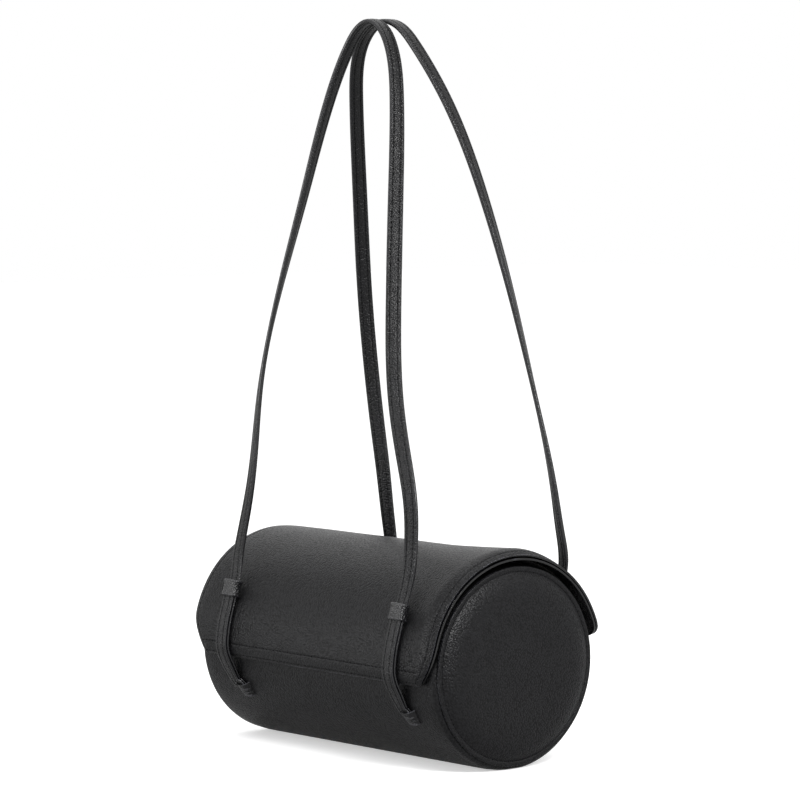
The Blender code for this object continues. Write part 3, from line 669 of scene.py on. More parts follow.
# painted shade: a mask that is full where the flap hangs over the wrap's end, which the leather paints dead
# black
paintedShadeUnderFlap = wrap.data.attributes.new("paintedShadeUnderFlap", "FLOAT", "POINT")
shadeFront, shadeBack = barrel["flapShade"]["degrees"]
for i, vertex in enumerate(wrap.data.vertices):
    turn = math.degrees(math.atan2((vertex.co.z - centreHeight) / barrel["crownShare"], -vertex.co.y))
    around = ease((turn - shadeFront) / 7) * ease((shadeBack - turn) / 6)
    paintedShadeUnderFlap.data[i].value = around * ease((abs(vertex.co.x) - barrel["flapShade"]["from"]) / (4 * mm))
reachOut(wrap)
settlePiece(wrap, pebbledLeather, "body", "pebbled_leather", "barrel_leather", 40)
print("barrel wrap made")

# lining: a thinner tube inside the boards
lining = {
    "radius": barrel["radius"] - barrel["leather"] - 2.0 * mm,
    "half": 113.9 * mm,
    "cloth": 0.8 * mm,
    "shoulder": 1.2 * mm,
    "turnIn": 3 * mm,
    "steps": 96,
}
liningPiece = drawTube("barrelLining", wallStations(
    lining["half"], lining["radius"], lining["radius"] - lining["cloth"], lining["shoulder"],
    lining["turnIn"],
), lining["steps"])
settleOval(liningPiece)
flattenBase(liningPiece, barrel["radius"] - lining["radius"])
cutMouth(liningPiece)
settlePiece(liningPiece, twillLining, "body", "lining_cloth", "barrel_lining", 40)

# end panels: a disc of leather, its turned edge sewn down in a ring, a little full in the middle
endPanel = {
    "radius": 67.1 * mm,
    "settled": 0.967,  # the disc is stiffer than the wrap, and stays rounder
    "centre": 67.0 * mm,
    "inner": 117.6 * mm,
    "thickness": 1.4 * mm,
    "roundedEdge": 0.9 * mm,
    "edgeRise": 0.5 * mm,
    "edgeSteps": 4,
    "band": 2.0 * mm,  # from the rim to the stitched ring
    "bandRise": 0.12 * mm,
    "groove": 1.0 * mm,
    "grooveDepth": 0.3 * mm,
    "puff": (  # mm in, mm out
        (0.6, 0.42), (1, 0.6), (1.6, 0.75), (2.4, 0.8), (3.2, 0.7), (4, 0.5), (5, 0.3), (6.5, 0.12),
        (6.5, 0.04), (6.5, 0.04), (6.5, 0.04), (6.5, 0.04)),
    "stitchPlace": 118.98 * mm,
    "farReach": 0.3,
    "unevenness": 0.5 * mm,
    "steps": 144,
}


def makeDisc(name, x, radius, thickness, steps):
    piece = startDrawn(name, x, radius, steps, "NGON")
    extrudeAlong(thickness)
    leaveEdit()
    return piece


def insetDisc(piece, test, insets):
    # the disc's own face is stepped in and out, ring by ring, and closed in the middle
    editWith(piece, lambda f: len(f.verts) > 8 and test(f.calc_center_median().x), "FACE")
    for goIn, goOut in insets:
        bpy.ops.mesh.inset(thickness=goIn, depth=goOut)
    bpy.ops.mesh.poke()
    finishEdit(piece)


panel = makeDisc(
    "endPanelRight", endPanel["inner"], endPanel["radius"], endPanel["thickness"] - 0.25 * mm,
    endPanel["steps"])
insets = []
lastIn = lastOut = 0
for i in range(1, endPanel["edgeSteps"] + 1):  # the rounded edge
    turn = math.radians(90) * i / endPanel["edgeSteps"]
    goIn = endPanel["roundedEdge"] * (1 - math.cos(turn))
    goOut = endPanel["edgeRise"] * math.sin(turn)
    insets.append((goIn - lastIn, goOut - lastOut))
    lastIn, lastOut = goIn, goOut
insets += [(endPanel["band"] / 2, rise * endPanel["bandRise"]) for rise in (1, -1)]
insets += [(endPanel["groove"] * 0.5, rise * endPanel["grooveDepth"]) for rise in (-1, 1)]
insets += [(goIn * mm, goOut * mm) for goIn, goOut in endPanel["puff"]]
insetDisc(panel, lambda x: x > endPanel["inner"] + 0.5 * mm, insets)
stretch(panel, (1, 1, endPanel["settled"]))
lift(panel, endPanel["centre"])
unevenSkin(
    panel, endPanel["unevenness"],
    lambda p: ease((55 * mm - math.hypot(p.y, p.z - centreHeight)) / (25 * mm)) * (p.x > 118 * mm),
    size=0.04,
)
takeUp(panel)
bpy.ops.object.duplicate()
panelLeft = bpy.context.object
panelLeft.name = "endPanelLeft"
mirrorAcross(panelLeft)
reachOut(panelLeft, much=endPanel["farReach"])
settlePiece(panel, pebbledLeather, "body", "pebbled_leather", "end_panel_right")
settlePiece(panelLeft, pebbledLeather, "body", "pebbled_leather", "end_panel_left")

ringRadius = endPanel["radius"] - endPanel["roundedEdge"] - endPanel["band"] - endPanel["groove"] * 0.5
for side, hand in hands:
    points = []
    for i in range(181):
        turn = math.radians(2 * i)
        up = endPanel["settled"] * (ringRadius * math.sin(turn))
        spot = (side * endPanel["stitchPlace"], ringRadius * math.cos(turn), endPanel["centre"] + up)
        points.append(Vector(spot))
    ring = sew("endStitches" + hand, [(points, [(side, 0, 0)] * len(points))], "body")
    reachOut(ring, much=endPanel["farReach"])

endLining = {
    "inner": 113.1 * mm,
    "radius": 65 * mm,
    "cloth": 0.5 * mm,
    "steps": 96,
    "insets": (  # mm in, mm out: a rolled rim, a pressed seam, then slightly full
        (0.5, 0.2), (1.5, 0), (0.6, -0.3), (0.6, 0.3), (8, 0.3), (14, 0.1), (16, 0), (14, 0)),
}
for side, hand in hands:
    inner = makeDisc(
        "endLining" + hand, endLining["inner"], endLining["radius"], endLining["cloth"], endLining["steps"])
    insetDisc(
        inner, lambda x: x < endLining["inner"] + 0.2 * mm,
        [(goIn * mm, goOut * mm) for goIn, goOut in endLining["insets"]])
    settleOval(inner)
    if side < 0:
        mirrorAcross(inner)
    settlePiece(inner, twillLining, "body", "lining_cloth", "end_lining_" + hand.lower(), 40)
print("ends made")

# each corner of a rounded oblong, as its side, its end and the degrees its arc starts at
corners = ((1, 1, 0), (-1, 1, 90), (-1, -1, 180), (1, -1, 270))


def cornerArc(corner, halfX, halfY, radius, out, steps):
    cx, cy, first = corner
    turns = [math.radians(first + 90 * i / steps) for i in range(steps + 1)]
    return [
        (cx * (halfX - radius) + (radius + out) * math.cos(turn),
         cy * (halfY - radius) + (radius + out) * math.sin(turn))
        for turn in turns
    ]


def mouthOutline(grow, count=30):
    # the mouth seen from above, walked round from its back right corner
    halfX = barrel["mouthLength"] / 2 + grow
    halfY = barrel["mouthWidth"] / 2 + grow
    radius = barrel["mouthCorner"] + grow
    spots = []
    for corner in corners:
        spots += cornerArc(corner, halfX, halfY, radius, 0, 8)
        cx, cy = corner[:2]
        goX = -cx * (halfX - radius) * 2 if cx == cy else 0
        goY = 0 if cx == cy else -cy * (halfY - radius) * 2
        lastX, lastY = spots[-1]
        spots += [(lastX + goX * i / count, lastY + goY * i / count) for i in range(1, count)]
    return spots + spots[:1]


def heightOver(y, radius):
    return centreHeight + barrel["crownShare"] * math.sqrt(max(radius ** 2 - y ** 2, 0))


# mouth binding: a strip folded over the cut edge of the mouth, and its row of stitches
binding = {"depth": 4.9 * mm, "stitchOut": 2.6 * mm}
rim = barrel["radius"]
foot = rim - binding["depth"]
bindingSection = [  # (how far out from the mouth's edge, radius)
    (-0.1 * mm, foot), (-0.1 * mm, rim + 0.1 * mm), (1.6 * mm, rim + 0.15 * mm), (1.6 * mm, rim + 0.55 * mm),
    (-0.1 * mm, rim + 0.75 * mm), (-0.95 * mm, rim + 0.55 * mm), (-1.2 * mm, rim + 0.1 * mm),
    (-1.2 * mm, foot + 0.3 * mm), (-0.4 * mm, foot - 0.1 * mm), (-0.1 * mm, foot),
]
outlines = [mouthOutline(grow) for grow, _ in bindingSection]


def bindingPlace(row, column):
    x, y = outlines[column][row]
    return (x, y, heightOver(y, bindingSection[column][1]))


bindingPiece = laySheet("mouthBinding", len(outlines[0]), len(bindingSection), bindingPlace)
finishEdit(bindingPiece)
settlePiece(bindingPiece, smoothLeather, "body", "smooth_leather", "mouth_binding")
spots = [Vector((x, y, heightOver(y, rim))) for x, y in mouthOutline(binding["stitchOut"])]
ups = [Vector((0, spot.y, spot.z - centreHeight)).normalized() for spot in spots]
sew("mouthStitches", [(spots, ups)], "body")
print("mouth bound")

# flap: leather over a stiff board over its lining, wrapped from behind
flap = {
    "front": math.radians(-4.4),
    "back": math.radians(168),
    "halfLength": 120.3 * mm,
    "radius": 77 * mm,
    "seat": 72.9 * mm,
    "leather": 1.3 * mm,
    "leatherEdge": 0.4 * mm,
    "lining": 1.3 * mm,
    "liningEdge": 0.35 * mm,
    "liningInset": 0.15 * mm,
    "frontLift": -1.8 * mm,
    "liftAngle": math.radians(60),
    "roll": 7 * mm,
    "frontFall": 2 * mm,
    "frontInset": 11.3 * mm,
    "taper": 30 * mm,
    "backCorner": 10 * mm,
    "sideRoll": 10.2 * mm,
    "bulge": 3.1 * mm,  # how far the near end stands up before it rolls down to its edge
    "bulgeFull": 110 * mm,
    "bulgeStart": {"low": 92, "high": 45, "degrees": (35, 70)},  # in mm, so that it clears the strap
    "bulgeRise": (5, 40),  # degrees up from the front
    "bulgeEnd": (150, 92),  # degrees, from the back
    "sideStitch": 3.9 * mm,
    "hemStitch": 9.4 * mm,
    "edgeStitch": 2.2 * mm,
    "backStitch": 5 * mm,
    "backStitchEnds": 12 * mm,
    "channel": 0.28 * mm,
    "channelHalf": 0.45 * mm,
    "edgeGap": 0.9 * mm,
    "unevenness": 0.5 * mm,
    "rowSpacing": 3.2 * mm,
    "columnSpacing": 3.4 * mm,
    "hinge": ("body", "flap", (0, 0.0712, 0.0770), (0, 0.0652, 0.0900)),
}


def flapLift(angle):
    return flap["frontLift"] * (1 - ease((angle - flap["front"]) / flap["liftAngle"]))


def flapHalf(angle):
    fromFront = (angle - flap["front"]) * flap["radius"]
    fromBack = (flap["back"] - angle) * flap["radius"]
    taper = flap["frontInset"] * max(1 - fromFront / flap["taper"], 0) ** 2
    reach = max(flap["backCorner"] - fromBack, 0)
    corner = flap["backCorner"] - math.sqrt(max(flap["backCorner"] ** 2 - reach ** 2, 0))
    return flap["halfLength"] - taper - corner


def frontFall(angle):
    return flap["frontFall"] * max(1 - (angle - flap["front"]) * flap["radius"] / flap["roll"], 0) ** 2


def flapBulge(x, angle):
    def easedOver(first, last):
        return ease((math.degrees(angle) - first) / (last - first))

    start = flap["bulgeStart"]
    startX = mix(start["low"], start["high"], easedOver(*start["degrees"])) * mm
    along = clamp((x - startX) / (flap["bulgeFull"] - startX)) ** 1.3
    return flap["bulge"] * along * easedOver(*flap["bulgeRise"]) * easedOver(*flap["bulgeEnd"])


def flapRadius(x, angle):
    toSide = flapHalf(angle) - abs(x)
    toBack = (flap["back"] - angle) * flap["radius"]
    stack = flap["lining"] + flap["edgeGap"] + flap["leather"]
    fullFall = flap["radius"] - flap["seat"] - stack - flapLift(angle)
    bulge = flapBulge(x, angle)
    sideFall = (fullFall + bulge) * max(1 - max(toSide, 0) / flap["sideRoll"], 0) ** 2
    backFall = fullFall * max(1 - max(toBack, 0) / flap["roll"], 0) ** 2
    toHem = (angle - flap["front"]) * flap["radius"] - flap["hemStitch"]
    channel = math.exp(-((toSide - flap["sideStitch"]) / flap["channelHalf"]) ** 2)
    if toSide > flap["sideStitch"]:
        channel = max(channel, math.exp(-(toHem / flap["channelHalf"]) ** 2))
    return flap["radius"] + bulge - max(sideFall, backFall, frontFall(angle)) - flap["channel"] * channel


def flapRows(inset):
    start = flap["front"] + inset / flap["radius"]
    end = flap["back"] - inset / flap["radius"]
    roll = flap["roll"] / flap["radius"]
    hem = start + flap["hemStitch"] / flap["radius"]
    near = [roll * share for share in (0, 0.04, 0.1, 0.18, 0.28, 0.4, 0.55, 0.75)]
    sewn = [hem + offset * mm / flap["radius"] for offset in (-2.4, -1.2, -0.7, -0.35, 0, 0.35, 0.7, 1.2)]
    middle = end - roll - sewn[-1]
    count = int(round(middle * flap["radius"] / flap["rowSpacing"]))
    rows = [start + n for n in near] + sewn
    rows += [sewn[-1] + middle * i / count for i in range(1, count + 1)]
    return rows + [end - n for n in reversed(near)]


def flapColumns():
    # distances in from the side edges, as (side, distance), and shares of what is left between them
    near = (0, 0.28, 0.7, 1.2, 1.8, 2.5, 3.1, 3.58, 3.9, 4.22, 4.7, 5.4, 6.4, 7.6, 8.9, 10.2)
    count = int(round(2 * (flap["halfLength"] - flap["sideRoll"]) / flap["columnSpacing"]))
    middle = [(0, i / count) for i in range(1, count)]
    return [(-1, n * mm) for n in near] + middle + [(1, n * mm) for n in reversed(near)]


def flapX(column, half):
    side, value = column
    if side == 0:
        return (2 * value - 1) * (half - flap["sideRoll"])
    return side * (half - value)


def makeFlapLayer(name, inset, radiusAt):
    rows = flapRows(inset)
    columns = flapColumns()

    def place(row, column):
        angle = rows[row]
        x = flapX(columns[column], flapHalf(angle) - inset)
        return onBarrel(x, radiusAt(x, angle), angle)

    piece = laySheet(
        name, len(rows), len(columns), place,
        [row * flap["radius"] for row in rows], [flapX(column, flap["halfLength"]) for column in columns])
    faceOut(piece, Vector((0, 0, 1)))
    return piece


def thicken(piece, material, thickness, bevel):
    piece.data.materials.clear()
    piece.data.materials.append(material)
    piece.data.materials.append(edgePaint)
    useModifier(
        piece, "SOLIDIFY", thickness=thickness, offset=-1, use_even_offset=True, material_offset_rim=1)
    editWith(piece, lambda e: len(e.link_faces) == 2 and e.calc_face_angle(0) > math.radians(60), "EDGE")
    bpy.ops.mesh.bevel(offset=bevel, segments=3, affect="EDGES", clamp_overlap=True)
    leaveEdit()


flapLeather = makeFlapLayer("flapLeather", 0, flapRadius)
unevenSkin(
    flapLeather, flap["unevenness"],
    lambda p: ease((flap["halfLength"] - abs(p.x) - 14 * mm) / (20 * mm)) * ease((p.z - 76 * mm) / (15 * mm)),
    size=0.05,
)
flapLining = makeFlapLayer(
    "flapLining", flap["liningInset"], lambda x, angle: flap["seat"] + flapLift(angle) + flap["lining"])
for piece, finish, layer, slotName, node in (
    (flapLeather, pebbledLeather, "leather", "pebbled_leather", "flap_leather"),
    (flapLining, smoothLeather, "lining", "smooth_leather", "flap_lining"),
):
    reachOut(piece, barrel["farFlapFoot"])
    thicken(piece, finish, flap[layer], flap[layer + "Edge"])
    settlePiece(piece, finish, flap["hinge"], slotName, node, 40)


def flapRow(xs, angles):
    spots = [onBarrel(x, flapRadius(x, angle), angle) for x, angle in zip(xs, angles)]
    return spots, [awayFromBarrel(angle) for angle in angles]


def acrossRow(angle, half, count):
    return flapRow(np.linspace(-half, half, count), [angle] * count)


sideAngles = np.linspace(flap["front"] + 0.03, flap["back"] - 0.12, 90)
rows = [
    flapRow([side * (flapHalf(angle) - flap["sideStitch"]) for angle in sideAngles], sideAngles)
    for side, _ in hands
]
for inFrom, clear in ((flap["hemStitch"], 2 * mm), (flap["edgeStitch"], 1 * mm)):
    angle = flap["front"] + inFrom / flap["radius"]
    rows.append(acrossRow(angle, flapHalf(angle) - (flap["sideStitch"] + clear), 80))
sew("flapStitches", rows, "flap", barrel["farFlapFoot"])
backAngle = flap["back"] - flap["backStitch"] / flap["radius"]
backRow = acrossRow(backAngle, flap["halfLength"] - flap["backStitchEnds"], 60)
sew("flapSeamStitches", [backRow], flap["hinge"], barrel["farFlapFoot"])
print("flap made")

# straps: one flat strap each, doubled back at both ends and pressed there by its keepers
strap = {
    "width": 10.3 * mm,
    "thickness": 3.1 * mm,
    "pressed": 2.0 * mm,
    "skived": 1.1 * mm,
    "foldWidth": 8.4 * mm,
    "skiveLength": 16 * mm,
    "layerGap": 0.3 * mm,
    "halfSpacing": 85 * mm,
    "fold": math.radians(-22.2),
    "lean": {-1: 5.5 * mm, 1: 3 * mm},
    "leanFrom": math.radians(-6),
    "keeper": math.radians(30),
    "keeperLength": 11 * mm,
    "foldRadius": 71.55 * mm,
    "stackRadius": 79.45 * mm,
    "keeperRadius": 81.71 * mm,
    "tailPast": 0.02,  # radians of tail above the keeper
    "leave": {-1: math.radians(16.5), 1: math.radians(8)},
    "twist": {-1: 0.95, 1: 0.70},
    "twistFrom": 104.9 * mm,  # the strap starts to turn edge on at this height
    "topHeight": 485.6 * mm,
    "stitchIn": 2.6 * mm,
    "stitchOut": 0.41,  # from the middle of the strap, as a share of its thickness
    "girth": 25 * mm,
    "rowSpacing": 3.5 * mm,
    # the loop's route in mm: heights and depths up to its top, and places along the bag all the way over
    "heights": (123.9, 146.8, 173.4, 203.9, 238.1, 299.1, 367.6, 432.3, 468.5, 480.7, 484.3),
    "depths": {
        -1: (64.7, 61.1, 60.4, 57.7, 53.8, 44.2, 30.6, 15.9, 7.5, 5.7, 5.3),
        1: (72.7, 70.0, 66.9, 63.8, 59.9, 49.9, 35.0, 17.4, 7.6, 5.7, 5.3),
    },
    "places": {
        -1: (-86.3, -84.4, -78.0, -75.9, -75.5, -68.8, -57.1, -47.5, -36.2, -26.5, -17.0,
             -6.5, 4.7, 20.5, 36.1, 49.6, 62.9, 74.7, 84.6, 85.9, 86.3),
        1: (-86.7, -87.5, -88.1, -90.2, -91.6, -88.1, -75.9, -59.1, -42.0, -27.9, -13.8,
            -0.7, 12.0, 32.1, 49.8, 62.0, 72.4, 79.4, 84.2, 86.6, 86.7),
    },
    "anchorBlend": {
        -1: ("body", "strap_front", (0, -0.0672, 0.0405), (0, -0.0745, 0.0530)),
        1: ("body", "strap_back", (0, 0.0672, 0.0405), (0, 0.0745, 0.0530)),
    },
}


def thereAndBack(values):
    return values + values[-2::-1]


def smoothRoute(knots, spacing):
    # a natural spline through the knots, walked in even steps
    places = np.array([tuple(knot) for knot in knots])
    spans = np.linalg.norm(np.diff(places, axis=0), axis=1)
    reach = np.concatenate(([0], np.cumsum(spans)))
    slopes = np.diff(places, axis=0) / spans[:, None]
    matrix = np.eye(len(places))
    change = np.zeros_like(places)
    for i in range(1, len(places) - 1):
        matrix[i, i - 1 : i + 2] = (spans[i - 1], 2 * (spans[i - 1] + spans[i]), spans[i])
        change[i] = 6 * (slopes[i] - slopes[i - 1])
    bends = np.linalg.solve(matrix, change)
    points = []
    for along in np.linspace(0, reach[-1], int(reach[-1] / spacing) + 1):
        i = min(int(np.searchsorted(reach, along, side="right")) - 1, len(spans) - 1)
        near, far = along - reach[i], reach[i + 1] - along
        point = (places[i] * far + places[i + 1] * near) / spans[i]
        point += bends[i] * (far ** 3 / spans[i] - far * spans[i]) / 6
        point += bends[i + 1] * (near ** 3 / spans[i] - near * spans[i]) / 6
        points.append(Vector(point))
    return points


def layerThickness(angle):
    share = ease((angle - strap["fold"]) * barrel["radius"] / strap["skiveLength"])
    return mix(strap["skived"], strap["pressed"], share)


def bareStackRadius(face, angle):
    riseEnd = 2 * flap["roll"] / flap["radius"] + flap["front"]
    if angle < riseEnd:
        share = ease((angle - strap["fold"]) / (riseEnd - strap["fold"]))
        rising = mix(strap["foldRadius"], strap["stackRadius"], share)
        if angle < flap["front"]:
            return rising
        return max(rising, strap["stackRadius"] - frontFall(angle))
    return strap["stackRadius"] / math.cos(max(angle - strap["leave"][face], 0))


def stackRadius(face, angle):
    # leather bends in easy curves, so the run's corners are eased over a few degrees
    spread = [math.radians(d) for d in (-4, -2, 0, 2, 4)]
    near = clamp((angle - strap["fold"]) / spread[-1])
    return sum(bareStackRadius(face, angle + near * s) for s in spread) / len(spread)


def stackPoint(face, angle, offset, x):
    lean = strap["lean"][1 if x > 0 else -1]
    lean *= ease((strap["leanFrom"] - angle) / (strap["leanFrom"] - strap["fold"]))
    point = onBarrel(x + lean, stackRadius(face, angle), angle) + awayFromBarrel(angle) * offset
    return Vector((x, -face * point.y, point.z))


def layerRun(face, layer, endAngle, x):
    # up one layer of the doubled strap, from its fold
    angles = np.linspace(strap["fold"], endAngle, 34)[1:]
    points = [stackPoint(face, a, layer * (layerThickness(a) + strap["layerGap"]) / 2, x) for a in angles]
    return points, [layerThickness(a) for a in angles]


def foldTurn(face, x):
    centre = onBarrel(0, strap["foldRadius"], strap["fold"])
    outward = awayFromBarrel(strap["fold"])
    down = Vector((0, -outward.z, outward.y))
    apart = strap["skived"] + strap["layerGap"]
    points = []
    for step in range(9):
        turn = math.pi * step / 8
        point = centre + (outward * math.cos(turn) + down * math.sin(turn)) * apart / 2
        points.append(Vector((x + strap["lean"][1 if x > 0 else -1], -face * point.y, point.z)))
    return points


def acrossAt(point, face, side):
    share = clamp((point.z - strap["twistFrom"]) / (strap["topHeight"] - strap["twistFrom"]))
    turn = math.radians(90) * share ** strap["twist"][face]
    return Vector((side * math.cos(turn), -face * math.sin(turn), 0))


def strapSection(width, thickness):
    # (across, out): crowned faces with a shallow channel under each row of stitches, and rounded edges
    half, top = width / 2, thickness / 2
    stitch = half - strap["stitchIn"]
    left = [
        (-half, -top * 0.3), (-half, top * 0.3), (-half + 0.35 * mm, top * 0.72),
        (-half + 0.9 * mm, top * 0.93), (-stitch - 0.6 * mm, top), (-stitch, top * 0.76),
        (-stitch + 0.6 * mm, top), (-stitch * 0.35, top * 1.06),
    ]
    upper = left + [(-a, o) for a, o in reversed(left[1:])]
    return upper + [(-a, -o) for a, o in upper] + upper[:1]


def sectionSpot(station, corner):
    point, across, normal = station
    return point + across * corner[0] + normal * corner[1]


def makeStations(points, hints):
    stations = []
    for i, point in enumerate(points):
        along = (points[min(i + 1, len(points) - 1)] - points[max(i - 1, 0)]).normalized()
        normal = hints[i].cross(along).normalized()
        stations.append((point, along.cross(normal), normal))
    return stations


def strapPath(face):
    ends = {}
    for side, _ in hands:
        x = side * strap["halfSpacing"]
        tail, tailThickness = layerRun(face, 1, strap["keeper"] + strap["tailPast"], x)
        run, runThickness = layerRun(
            face, -1, strap["keeper"] + strap["keeperLength"] / 2 / strap["keeperRadius"], x)
        turn = foldTurn(face, x)
        thicknesses = tailThickness[::-1] + [strap["skived"]] * len(turn) + runThickness
        ends[side] = (tail[::-1] + turn + run, thicknesses)
    knots = [
        Vector((place, face * depth, height)) * mm for place, depth, height in
        zip(strap["places"][face], thereAndBack(strap["depths"][face]), thereAndBack(strap["heights"]))
    ]
    left, right = ends[-1][0], ends[1][0]
    route = smoothRoute([left[-4], left[-1]] + knots + [right[-1], right[-4]], strap["rowSpacing"])
    loop = [p for p in route if p.z > left[-1].z + 2.5 * mm]
    middle = len(loop) // 2
    hints = [Vector((-1, 0, 0))] * len(left)
    hints += [acrossAt(p, face, -1 if i < middle else 1) for i, p in enumerate(loop)]
    hints += [Vector((1, 0, 0))] * len(right)
    eased = [
        mix(strap["pressed"], strap["thickness"], ease(min(i, len(loop) - 1 - i) / 4))
        for i in range(len(loop))
    ]
    return left + loop + right[::-1], hints, ends[-1][1] + eased + ends[1][1][::-1]


def strapWidth(thickness):
    share = clamp((thickness - strap["skived"]) / (strap["pressed"] - strap["skived"]))
    return mix(strap["foldWidth"], strap["width"], share)


for face, word in faces:
    points, hints, thicknesses = strapPath(face)
    stations = makeStations(points, hints)
    sections = [strapSection(strapWidth(t), t) for t in thicknesses]
    reach = [0.0]
    for a, b in zip(points, points[1:]):
        reach.append(reach[-1] + (b - a).length)
    girth = np.linspace(0, strap["girth"], len(sections[0])).tolist()
    piece = laySheet(
        "strap" + word, len(points), len(girth),
        lambda i, j: sectionSpot(stations[i], sections[i][j]), reach, girth)
    piece.data.materials.append(smoothLeather)
    piece.data.materials.append(edgePaint)
    edgeColumns = (0, 1, 13, 14, 15, 16, 28, 29)
    for polygon in piece.data.polygons:
        if polygon.index % (len(girth) - 1) in edgeColumns:
            polygon.material_index = 1
    finishEdit(piece)
    for tip, station in ((points[0], stations[0]), (points[-1], stations[-1])):
        along = station[1].cross(station[2]).normalized()
        editWith(piece, lambda v: (v.co - tip).length < 8 * mm and abs((v.co - tip).dot(along)) < 0.05 * mm
                 and len(v.link_faces) == 2)
        bpy.ops.mesh.edge_face_add()
        leaveEdit()
    finishEdit(piece)
    settlePiece(piece, smoothLeather, strap["anchorBlend"][face], "smooth_leather", "strap_" + word.lower())

    stitchRows = []
    for rise in (1, -1):
        for side, _ in hands:
            spots = []
            ups = []
            for (point, across, normal), thickness in zip(stations[3:-3], thicknesses[3:-3]):
                inFrom = strapWidth(thickness) / 2 - strap["stitchIn"]
                spots.append(point + across * side * inFrom + normal * rise * thickness * strap["stitchOut"])
                ups.append(normal * rise)
            stitchRows.append((spots, ups))
    sew("strapStitches" + word, stitchRows, strap["anchorBlend"][face])
print("straps made")

# keepers: a short band of leather closed round the doubled strap
keeper = {
    "wall": 1.2 * mm,
    "clear": 0.35 * mm,
    "corner": 1.5 * mm,
    "band": (  # (share of the length from the middle, share of the wall from the inside)
        (-0.47, 0), (-0.5, 0.2), (-0.5, 0.8), (-0.47, 1.08), (-0.4, 1.15), (-0.32, 0.95),
        (-0.2, 0.8), (0, 0.76), (0.2, 0.8), (0.32, 0.95), (0.4, 1.15), (0.47, 1.08),
        (0.5, 0.8), (0.5, 0.2), (0.47, 0), (0, 0), (-0.47, 0)),
}


def bandSection(out):
    halfWidth = strap["width"] / 2 + keeper["clear"]
    halfThickness = strap["pressed"] + strap["layerGap"] / 2 + keeper["clear"]
    spots = []
    for corner in corners:
        spots += cornerArc(corner, halfWidth, halfThickness, keeper["corner"], out, 4)
    return spots + spots[:1]


for face, word in faces:
    for side, hand in hands:
        x = side * strap["halfSpacing"]
        stations = []
        for share, _ in keeper["band"]:
            angle = strap["keeper"] + share * strap["keeperLength"] / strap["keeperRadius"]
            ahead = stackPoint(face, angle + 0.01, 0, x) - stackPoint(face, angle - 0.01, 0, x)
            normal = Vector((1, 0, 0)).cross(ahead).normalized()
            stations.append((stackPoint(face, angle, 0, x), Vector((1, 0, 0)), normal))
        sections = [bandSection(share * keeper["wall"]) for _, share in keeper["band"]]
        piece = laySheet(
            "keeper" + word + hand, len(sections[0]), len(sections),
            lambda i, j: sectionSpot(stations[j], sections[j][i]))
        finishEdit(piece)
        settlePiece(
            piece, keeperLeather, "strap_" + word.lower(), "smooth_leather",
            "keeper_" + word.lower() + "_" + hand.lower())
print("keepers made")

# anchors: a leather tab let into the barrel, arched over the strap's folded end
anchor = {
    "mouth": math.radians(-20.0),
    "toe": math.radians(-28.9),
    "mouthHalf": 6.7 * mm,
    "toeHalf": 6.0 * mm,
    "mouthRise": 4.2 * mm,
    "toeRise": 3.0 * mm,
    "mouthDip": 0.02,  # the mouth's lip hollows in the middle
    "leather": 1.1 * mm,
    "edge": 0.25 * mm,
    "mouthShift": 0.3 * mm,  # from the strap's fold
    "toeShift": 2.0 * mm,  # the tab slants towards the near end
    "dive": 0.25,  # how much sooner its far edge goes under the barrel's leather
    "ridges": 4,
    "ridgeDepth": 0.8 * mm,
    "rows": 31,
    "columns": 19,
}


def anchorPlace(face, side, row, column):
    share = row / (anchor["rows"] - 1)
    sideways = 2 * column / (anchor["columns"] - 1) - 1
    dip = anchor["mouthDip"] * (1 - sideways ** 2) * (1 - share)
    angle = mix(anchor["mouth"], anchor["toe"], share) - dip
    lying = 1 - anchor["dive"] * share ** 2 * (1 - sideways) / 2
    ridge = math.exp(-(((share * anchor["ridges"]) % 1 - 0.5) / 0.17) ** 2) * (share > 0.25)
    rise = mix(anchor["mouthRise"], anchor["toeRise"], share) * lying - anchor["ridgeDepth"] * ridge
    rise *= 1 - abs(sideways) ** 3  # its arch
    shift = mix(anchor["mouthShift"], anchor["toeShift"], share) + strap["lean"][side]
    half = mix(anchor["mouthHalf"], anchor["toeHalf"], share)
    place = side * strap["halfSpacing"] + shift + sideways * half
    point = onBarrel(place, barrel["radius"] + 0.1 * mm + rise, angle)
    return Vector((point.x, -face * point.y, point.z))


out = awayFromBarrel((anchor["mouth"] + anchor["toe"]) / 2)
for face, word in faces:
    for side, hand in hands:
        piece = laySheet(
            "anchor" + word + hand, anchor["rows"], anchor["columns"],
            lambda i, j: anchorPlace(face, side, i, j))
        faceOut(piece, Vector((0, -face * out.y, out.z)))
        thicken(piece, smoothLeather, anchor["leather"], anchor["edge"])
        settlePiece(
            piece, smoothLeather, "body", "smooth_leather",
            "strap_anchor_" + word.lower() + "_" + hand.lower())
print("anchors made")

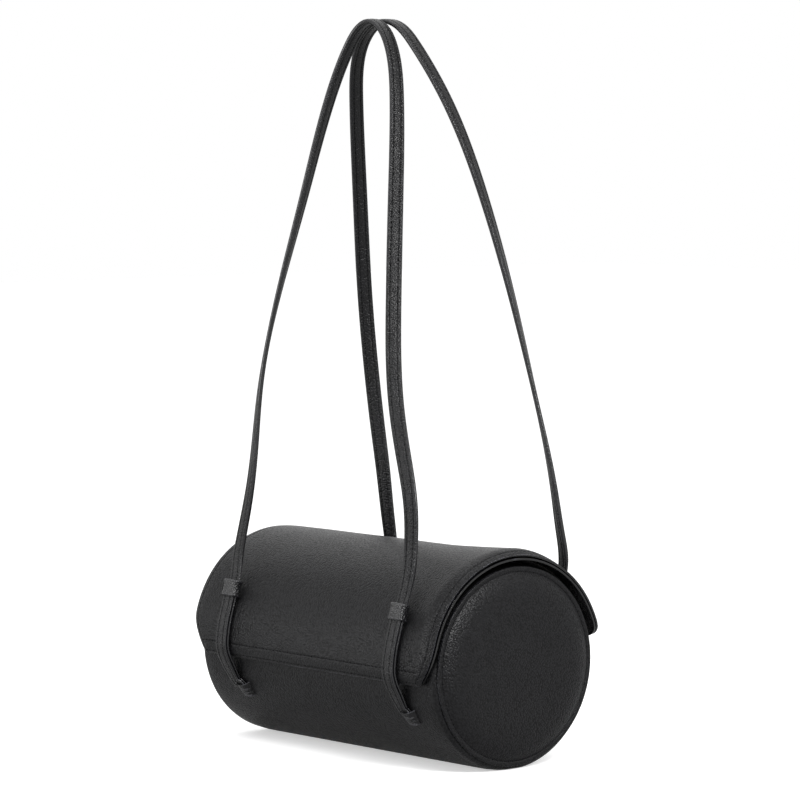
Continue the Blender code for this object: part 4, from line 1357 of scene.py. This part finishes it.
# floor, lights and surroundings
studio = {
    "floorSize": 12,
    "floorDrop": 0.3 * mm,
    "floorColour": "#e2e2e2",
    "bounceColour": "#a8a8a8",  # what the floor sends back up, so that the underside stays deep
    "floorGlow": 0.46,
    "skyLight": (0.2, 1.08),  # from the horizon to overhead
    "lampsAimAt": (0, 0, 0.12),
    "softboxes": {
        "overheadSoftbox": {"place": (-0.3, 0.3, 1.8), "size": 1.4, "power": 9.6},
        "nearSoftbox": {"place": (1.2, -0.5, 1.0), "size": 0.3, "power": 16},
        "sideSoftbox": {"place": (1.55, 0.05, 0.78), "size": 0.3, "power": 12},
        "frontSoftbox": {"place": (-0.6, -1.6, 0.42), "size": 0.8, "power": 14},
        "grainSoftbox": {"place": (0.25, -1.1, 1.2), "size": 0.25, "power": 3},
    },
}
deselectAll()
bpy.ops.mesh.primitive_plane_add(size=studio["floorSize"])
floor = bpy.context.object
floor.name = "floor"
floor.location.z = -studio["floorDrop"]
material, tree, shader = startMaterial("paleStudioFloor")
rays = addNode(tree, "LightPath").outputs
seen = addNode(tree, "Math", {
    0: rays["Is Camera Ray"], 1: rays["Is Transmission Ray"]}, operation="MAXIMUM")
seenToo = addNode(tree, "Math", {0: rays["Is Glossy Ray"], 1: 0.2, 2: seen}, operation="MULTIPLY_ADD")
floorColour = addNode(tree, "Mix", {
    "Factor": seen, 6: toLinear(studio["bounceColour"]), 7: toLinear(studio["floorColour"])},
    data_type="RGBA")
glow = addNode(tree, "Math", {0: seenToo, 1: studio["floorGlow"]}, operation="MULTIPLY")
feed(shader, {
    "Base Color": floorColour.outputs[2], "Roughness": 0.9,
    "Emission Color": (1, 1, 1, 1), "Emission Strength": glow})
floor.data.materials.append(material)

world = bpy.data.worlds.new("studio")
bpy.context.scene.world = world
world.use_nodes = True
tree = world.node_tree
rays = addNode(tree, "LightPath").outputs
seen = addNode(tree, "Math", {0: rays["Is Camera Ray"], 1: rays["Is Glossy Ray"]}, operation="MAXIMUM")
seenToo = addNode(tree, "Math", {0: seen, 1: rays["Is Transmission Ray"]}, operation="MAXIMUM")
height = addNode(tree, "SeparateXYZ", {"Vector": addNode(tree, "TexCoord").outputs["Generated"]})
low, high = studio["skyLight"]
sky = addNode(tree, "MapRange", {
    "Value": height.outputs["Z"], "From Min": -0.1, "To Min": low, "To Max": high})
level = addNode(tree, "Mix", {0: seenToo, 2: sky, 3: 1.0})
feed(tree.nodes["Background"], {"Color": (1, 1, 1, 1), "Strength": level})

for name, box in studio["softboxes"].items():
    lamp = bpy.data.lights.new(name, "AREA")
    lamp.shape = "SQUARE"
    lamp.size = box["size"]
    lamp.energy = box["power"]
    aimFrom(linkNew(name, lamp), box["place"], studio["lampsAimAt"])
bpy.context.scene.view_settings.view_transform = "Standard"
print("studio lit")
